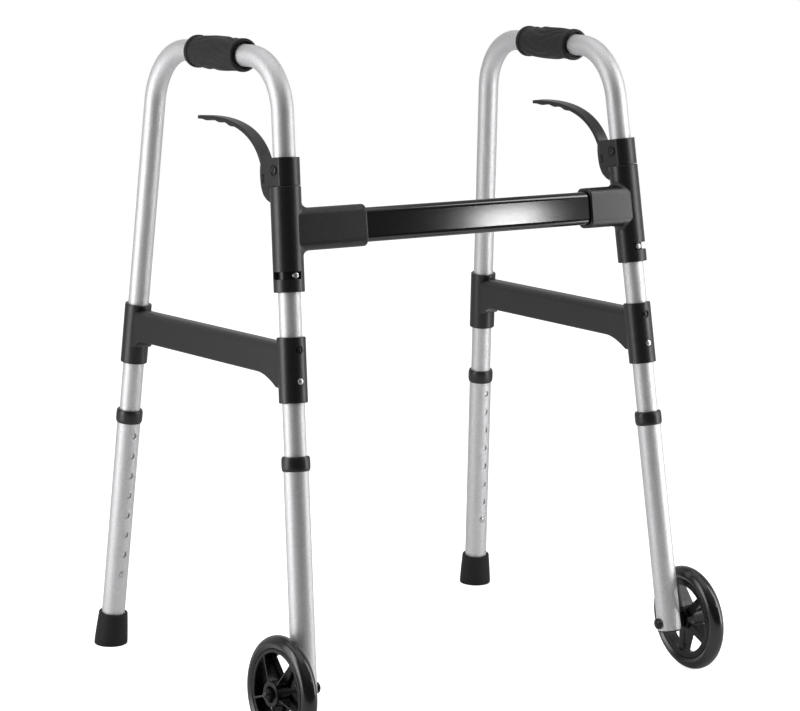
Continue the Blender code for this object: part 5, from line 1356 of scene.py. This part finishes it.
FINISHES = {
    "satin_aluminium": finish("satin_anodised_aluminium", (0.74, 0.74, 0.75), 0.57,
                              metallic=1.0, grain=0.0016, depth=0.00012, cloud=0.0020,
                              shade=0.07, gloss_spread=0.05),
    "grip_rubber": finish("charcoal_vinyl", (0.013, 0.013, 0.0135), 0.56, grain=0.0006,
                          depth=0.00006, specular=0.40),
    "moulded_plastic": finish("black_satin_moulding", (0.0022, 0.0022, 0.0024), 0.37,
                              grain=0.0016, depth=0.00015, specular=0.70),
    "gloss_black": finish("black_gloss_enamel", (0.0012, 0.0012, 0.0013), 0.12, grain=0.004,
                          depth=0.000001, gloss_spread=0.008, specular=0.85),
    "tyre_rubber": finish("black_tyre_rubber", (0.0012, 0.0012, 0.0013), 0.20, grain=0.0010,
                          depth=0.00001, specular=0.75),
    "wheel_plastic": finish("black_wheel_nylon", (0.0014, 0.0014, 0.0015), 0.26, grain=0.0012,
                            depth=0.00002, specular=0.40),
    "tip_rubber": finish("soft_black_rubber", (0.0060, 0.0060, 0.0063), 0.58, grain=0.0008,
                         depth=0.00005, specular=0.35),
    "zinc_steel": finish("bright_zinc", (0.60, 0.60, 0.61), 0.30, metallic=1.0, grain=0.0008,
                         depth=0.000006, shade=0.05),
    "black_steel": finish("black_oxide_steel", (0.030, 0.030, 0.031), 0.24, metallic=0.7,
                          grain=0.0006, depth=0.00001),
    "nylon": finish("black_nylon", (0.008, 0.008, 0.0083), 0.45, grain=0.0008, depth=0.00002),
}


# The whole walker

# Nodes that keep their own shape and only get a finish
CARRIED_OVER = {"axle_spacer": "nylon", "wheel_bushing": "nylon",
                "front_leg_plug": "moulded_plastic"}


def place(name, mesh, slot, body, node):
    """Finish a mesh, hang it on its body and let it stand for its node, where it has one."""
    mesh.shade_smooth()
    mesh.set_sharp_from_angle(angle=SHARP)
    mesh.materials.clear()
    mesh.materials.append(FINISHES[slot])
    piece = shown(name, mesh)
    weighted = piece.modifiers.new("even_shading", "WEIGHTED_NORMAL")
    weighted.keep_sharp = True
    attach(piece, body)
    if node:
        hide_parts(node)


def side_pieces():
    """Pieces alike on both sides: node, mesh, material slot and the body that carries it."""
    front_screw, front_rivet = brace_fastener_heights(BRACE_FRONT_LOW)
    rear_screw, rear_rivet = brace_fastener_heights(BRACE_REAR_LOW)
    return [
        ("crossbar_rivet", crossbar_rivet(), "black_steel", "crossbar"),
        ("frame_tube", frame_tube(), "satin_aluminium", "frame"),
        ("hand_grip", hand_grip(), "grip_rubber", "frame"),
        ("stop_screw", stop_screw(), "zinc_steel", "frame"),
        ("lever_bracket", lever_bracket(), "moulded_plastic", "frame"),
        ("bracket_bolt", bracket_bolt(), "black_steel", "frame"),
        ("lever_pivot_pin", pivot_pin(), "black_steel", "frame"),
        ("lever_spring", lever_spring(), "zinc_steel", "frame"),
        ("release_lever", release_lever(), "moulded_plastic", "lever"),
        ("side_brace", side_brace(), "moulded_plastic", "frame"),
        ("brace_front_screw", recessed_screw(front_screw, TO_FRONT), "black_steel", "frame"),
        ("brace_front_rivet", dome_rivet(front_rivet, TO_FRONT), "zinc_steel", "frame"),
        ("brace_rear_screw", moved(recessed_screw(rear_screw, TO_REAR), TO_REAR_LEG),
         "black_steel", "frame"),
        ("brace_rear_rivet", moved(dome_rivet(rear_rivet, TO_REAR), TO_REAR_LEG),
         "zinc_steel", "frame"),
        ("front_leg", front_leg(), "satin_aluminium", "front_leg"),
        ("front_leg_collar", leg_collar(FRONT_COLLAR_TOP), "moulded_plastic", "front_leg"),
        ("front_snap_clip", snap_clip("rear"), "zinc_steel", "front_clip"),
        ("axle_bolt", axle_bolt(), "black_steel", "front_leg"),
        ("axle_nut", axle_nut(), "black_steel", "front_leg"),
        ("wheel_tyre", tyre(), "tyre_rubber", "wheel"),
        ("rear_leg", rear_leg(), "satin_aluminium", "rear_leg"),
        ("rear_leg_collar", leg_collar(REAR_COLLAR_TOP), "moulded_plastic", "rear_leg"),
        ("rear_snap_clip", snap_clip("front"), "zinc_steel", "rear_clip"),
        ("rear_tip", rear_tip(), "tip_rubber", "rear_leg"),
    ]


def hang(side, name, mesh, slot, key, stands_for_node=True):
    """Put one piece of one side in its place."""
    matrix, body = CARRIERS[key]
    copy = moved(mesh.copy(), matrix)
    if side == "right":
        copy.transform(MIRROR)
        copy.flip_normals()
    node = side + "_" + name if stands_for_node else None
    place(side + "_" + name + "_finished", copy, slot, body.format(side), node)


# Light and camera

def toward(bearing):
    """Level direction at a bearing, which turns right from the camera's side of the walker."""
    angle = CAMERA_AZIMUTH - radians(bearing)
    return Vector((-sin(angle), -cos(angle), 0.0))


def studio():
    """Pale floor that keeps its shadows faint, as a lit studio table does."""
    (left, front), (right, rear) = FLOOR
    bm = bmesh.new()
    bm.faces.new([bm.verts.new((x, y, 0.0))
                  for x, y in ((left, front), (right, front), (right, rear), (left, rear))])
    floor = shown("floor", new_mesh(bm))
    paint = finish("pale_floor", FLOOR_COLOUR, roughness=0.9, shade=0.01, cloud=0.5)
    tree = paint.node_tree
    seen = add_node(tree, "LightPath").outputs["Is Camera Ray"]
    strength = add_node(tree, "Math", {0: seen, 1: FLOOR_GLOW}, operation="MULTIPLY")
    glow = add_node(tree, "Emission", {"Strength": strength.outputs["Value"]})
    both = add_node(tree, "AddShader", {0: tree.nodes["Principled BSDF"].outputs["BSDF"],
                                        1: glow.outputs["Emission"]})
    feed(tree, tree.nodes["Material Output"], {"Surface": both.outputs["Shader"]})
    floor.data.materials.append(paint)


def surroundings():
    """World round the walker: dark behind the camera, pale behind the walker and above it."""
    world = bpy.data.worlds.new("studio")
    bpy.context.scene.world = world
    world.use_nodes = True
    tree = world.node_tree
    tree.nodes.clear()
    direction = add_node(tree, "TexCoord").outputs["Generated"]
    turned = add_node(tree, "Mapping", {"Vector": direction, "Rotation": (
        0.0, 0.0, pi / 2.0 + CAMERA_AZIMUTH)}, vector_type="VECTOR")
    parts = add_node(tree, "SeparateXYZ", {"Vector": turned.outputs["Vector"]}).outputs
    bearing = add_node(tree, "Math", {0: parts["Y"], 1: parts["X"]}, operation="ARCTAN2")
    share = add_node(tree, "MapRange", {"Value": bearing.outputs["Value"],
                                        "From Min": -pi, "From Max": pi})
    ring = add_node(tree, "ValToRGB", {"Fac": share.outputs["Result"]})
    elements = ring.color_ramp.elements
    while len(elements) < len(RING):
        elements.new(0.5)
    for element, (angle, level) in zip(elements, RING):
        element.position = (angle + 180.0) / 360.0
        element.color = (level, level, level, 1.0)
    height = add_node(tree, "MapRange", {"Value": parts["Z"], "From Min": CEILING_RISE[0],
                                         "From Max": CEILING_RISE[1]},
                      interpolation_type="SMOOTHSTEP")
    above = add_node(tree, "Mix", {"Factor": height.outputs["Result"], "A": ring.outputs["Color"],
                                   "B": (CEILING, CEILING, CEILING, 1.0)}, data_type="RGBA")
    lighting = add_node(tree, "Background", {"Color": above.outputs["Result"]})
    backdrop = add_node(tree, "Background", {"Color": (1.0, 1.0, 1.0, 1.0)})
    mixed = add_node(tree, "MixShader", {
        0: add_node(tree, "LightPath").outputs["Is Camera Ray"],
        1: lighting.outputs["Background"], 2: backdrop.outputs["Background"]})
    add_node(tree, "OutputWorld", {"Surface": mixed.outputs["Shader"]})


def panel(name, spot, facing, size, brightness):
    """Rectangular soft light that faces the walker and stays out of the picture."""
    light = bpy.data.lights.new(name, "AREA")
    light.shape = "RECTANGLE"
    light.size, light.size_y = size
    light.energy = brightness * pi * size[0] * size[1]
    lamp = shown(name, light)
    side = UP.cross(facing) if facing.z == 0.0 else ACROSS
    lamp.matrix_world = at(*spot) @ axes(side, facing.cross(side), facing)
    lamp.visible_camera = False


def soft_boxes():
    """Upright soft boxes at both sides, a small one for the crossbar, and one overhead."""
    for name, bearing, distance, facing, height, size, brightness in SOFT_BOXES:
        spot = toward(bearing) * distance + UP * height
        panel(name, spot, toward(facing), size, brightness)
    spot, size, brightness = OVERHEAD
    panel("overhead", spot, UP, size, brightness)


def camera():
    """Camera at the photograph's viewing angle."""
    azimuth, elevation = CAMERA_AZIMUTH, CAMERA_ELEVATION
    back = Vector((-sin(azimuth) * cos(elevation),
                   -cos(azimuth) * cos(elevation), sin(elevation)))
    right = (-back).cross(UP).normalized()
    up = right.cross(-back)
    rolled = right * cos(CAMERA_ROLL) + up * sin(CAMERA_ROLL)
    upright = up * cos(CAMERA_ROLL) - right * sin(CAMERA_ROLL)
    data = bpy.data.cameras.new("camera")
    data.sensor_fit = "HORIZONTAL"
    data.sensor_width = CAMERA_SENSOR
    data.lens = CAMERA_LENS
    data.shift_x, data.shift_y = CAMERA_SHIFT
    eye = shown("camera", data)
    eye.matrix_world = (at(*(CAMERA_TARGET + back * CAMERA_DISTANCE))
                        @ axes(rolled, upright, back))
    bpy.context.scene.camera = eye


def main():
    """Dress the frame, light it and aim the camera."""
    for name, mesh, slot, key in side_pieces():
        for side in SIDES:
            hang(side, name, mesh, slot, key)
    for side in SIDES:
        # Painted shade: a thin black sheet darkens the tube in the stop slot and in the gap under
        # the bracket.
        hang(side, "painted_shade_band", painted_shade_band(), "black_steel", "frame", stands_for_node=False)
        hang(side, "hinge_housing", hinge_housing(side), "moulded_plastic", "hinge")
        hang(side, "wheel_rim", wheel_rim(SPOKE_PHASE[side]), "wheel_plastic", "wheel")
    place("crossbar_finished", moved(crossbar(), CROSSBAR), "gloss_black", "crossbar", "crossbar")
    for side in SIDES:
        for name, slot in CARRIED_OVER.items():
            for material_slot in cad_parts[side + "_" + name].material_slots:
                material_slot.material = FINISHES[slot]
    studio()
    surroundings()
    soft_boxes()
    camera()
    bpy.context.scene.view_settings.view_transform = "Standard"


main()
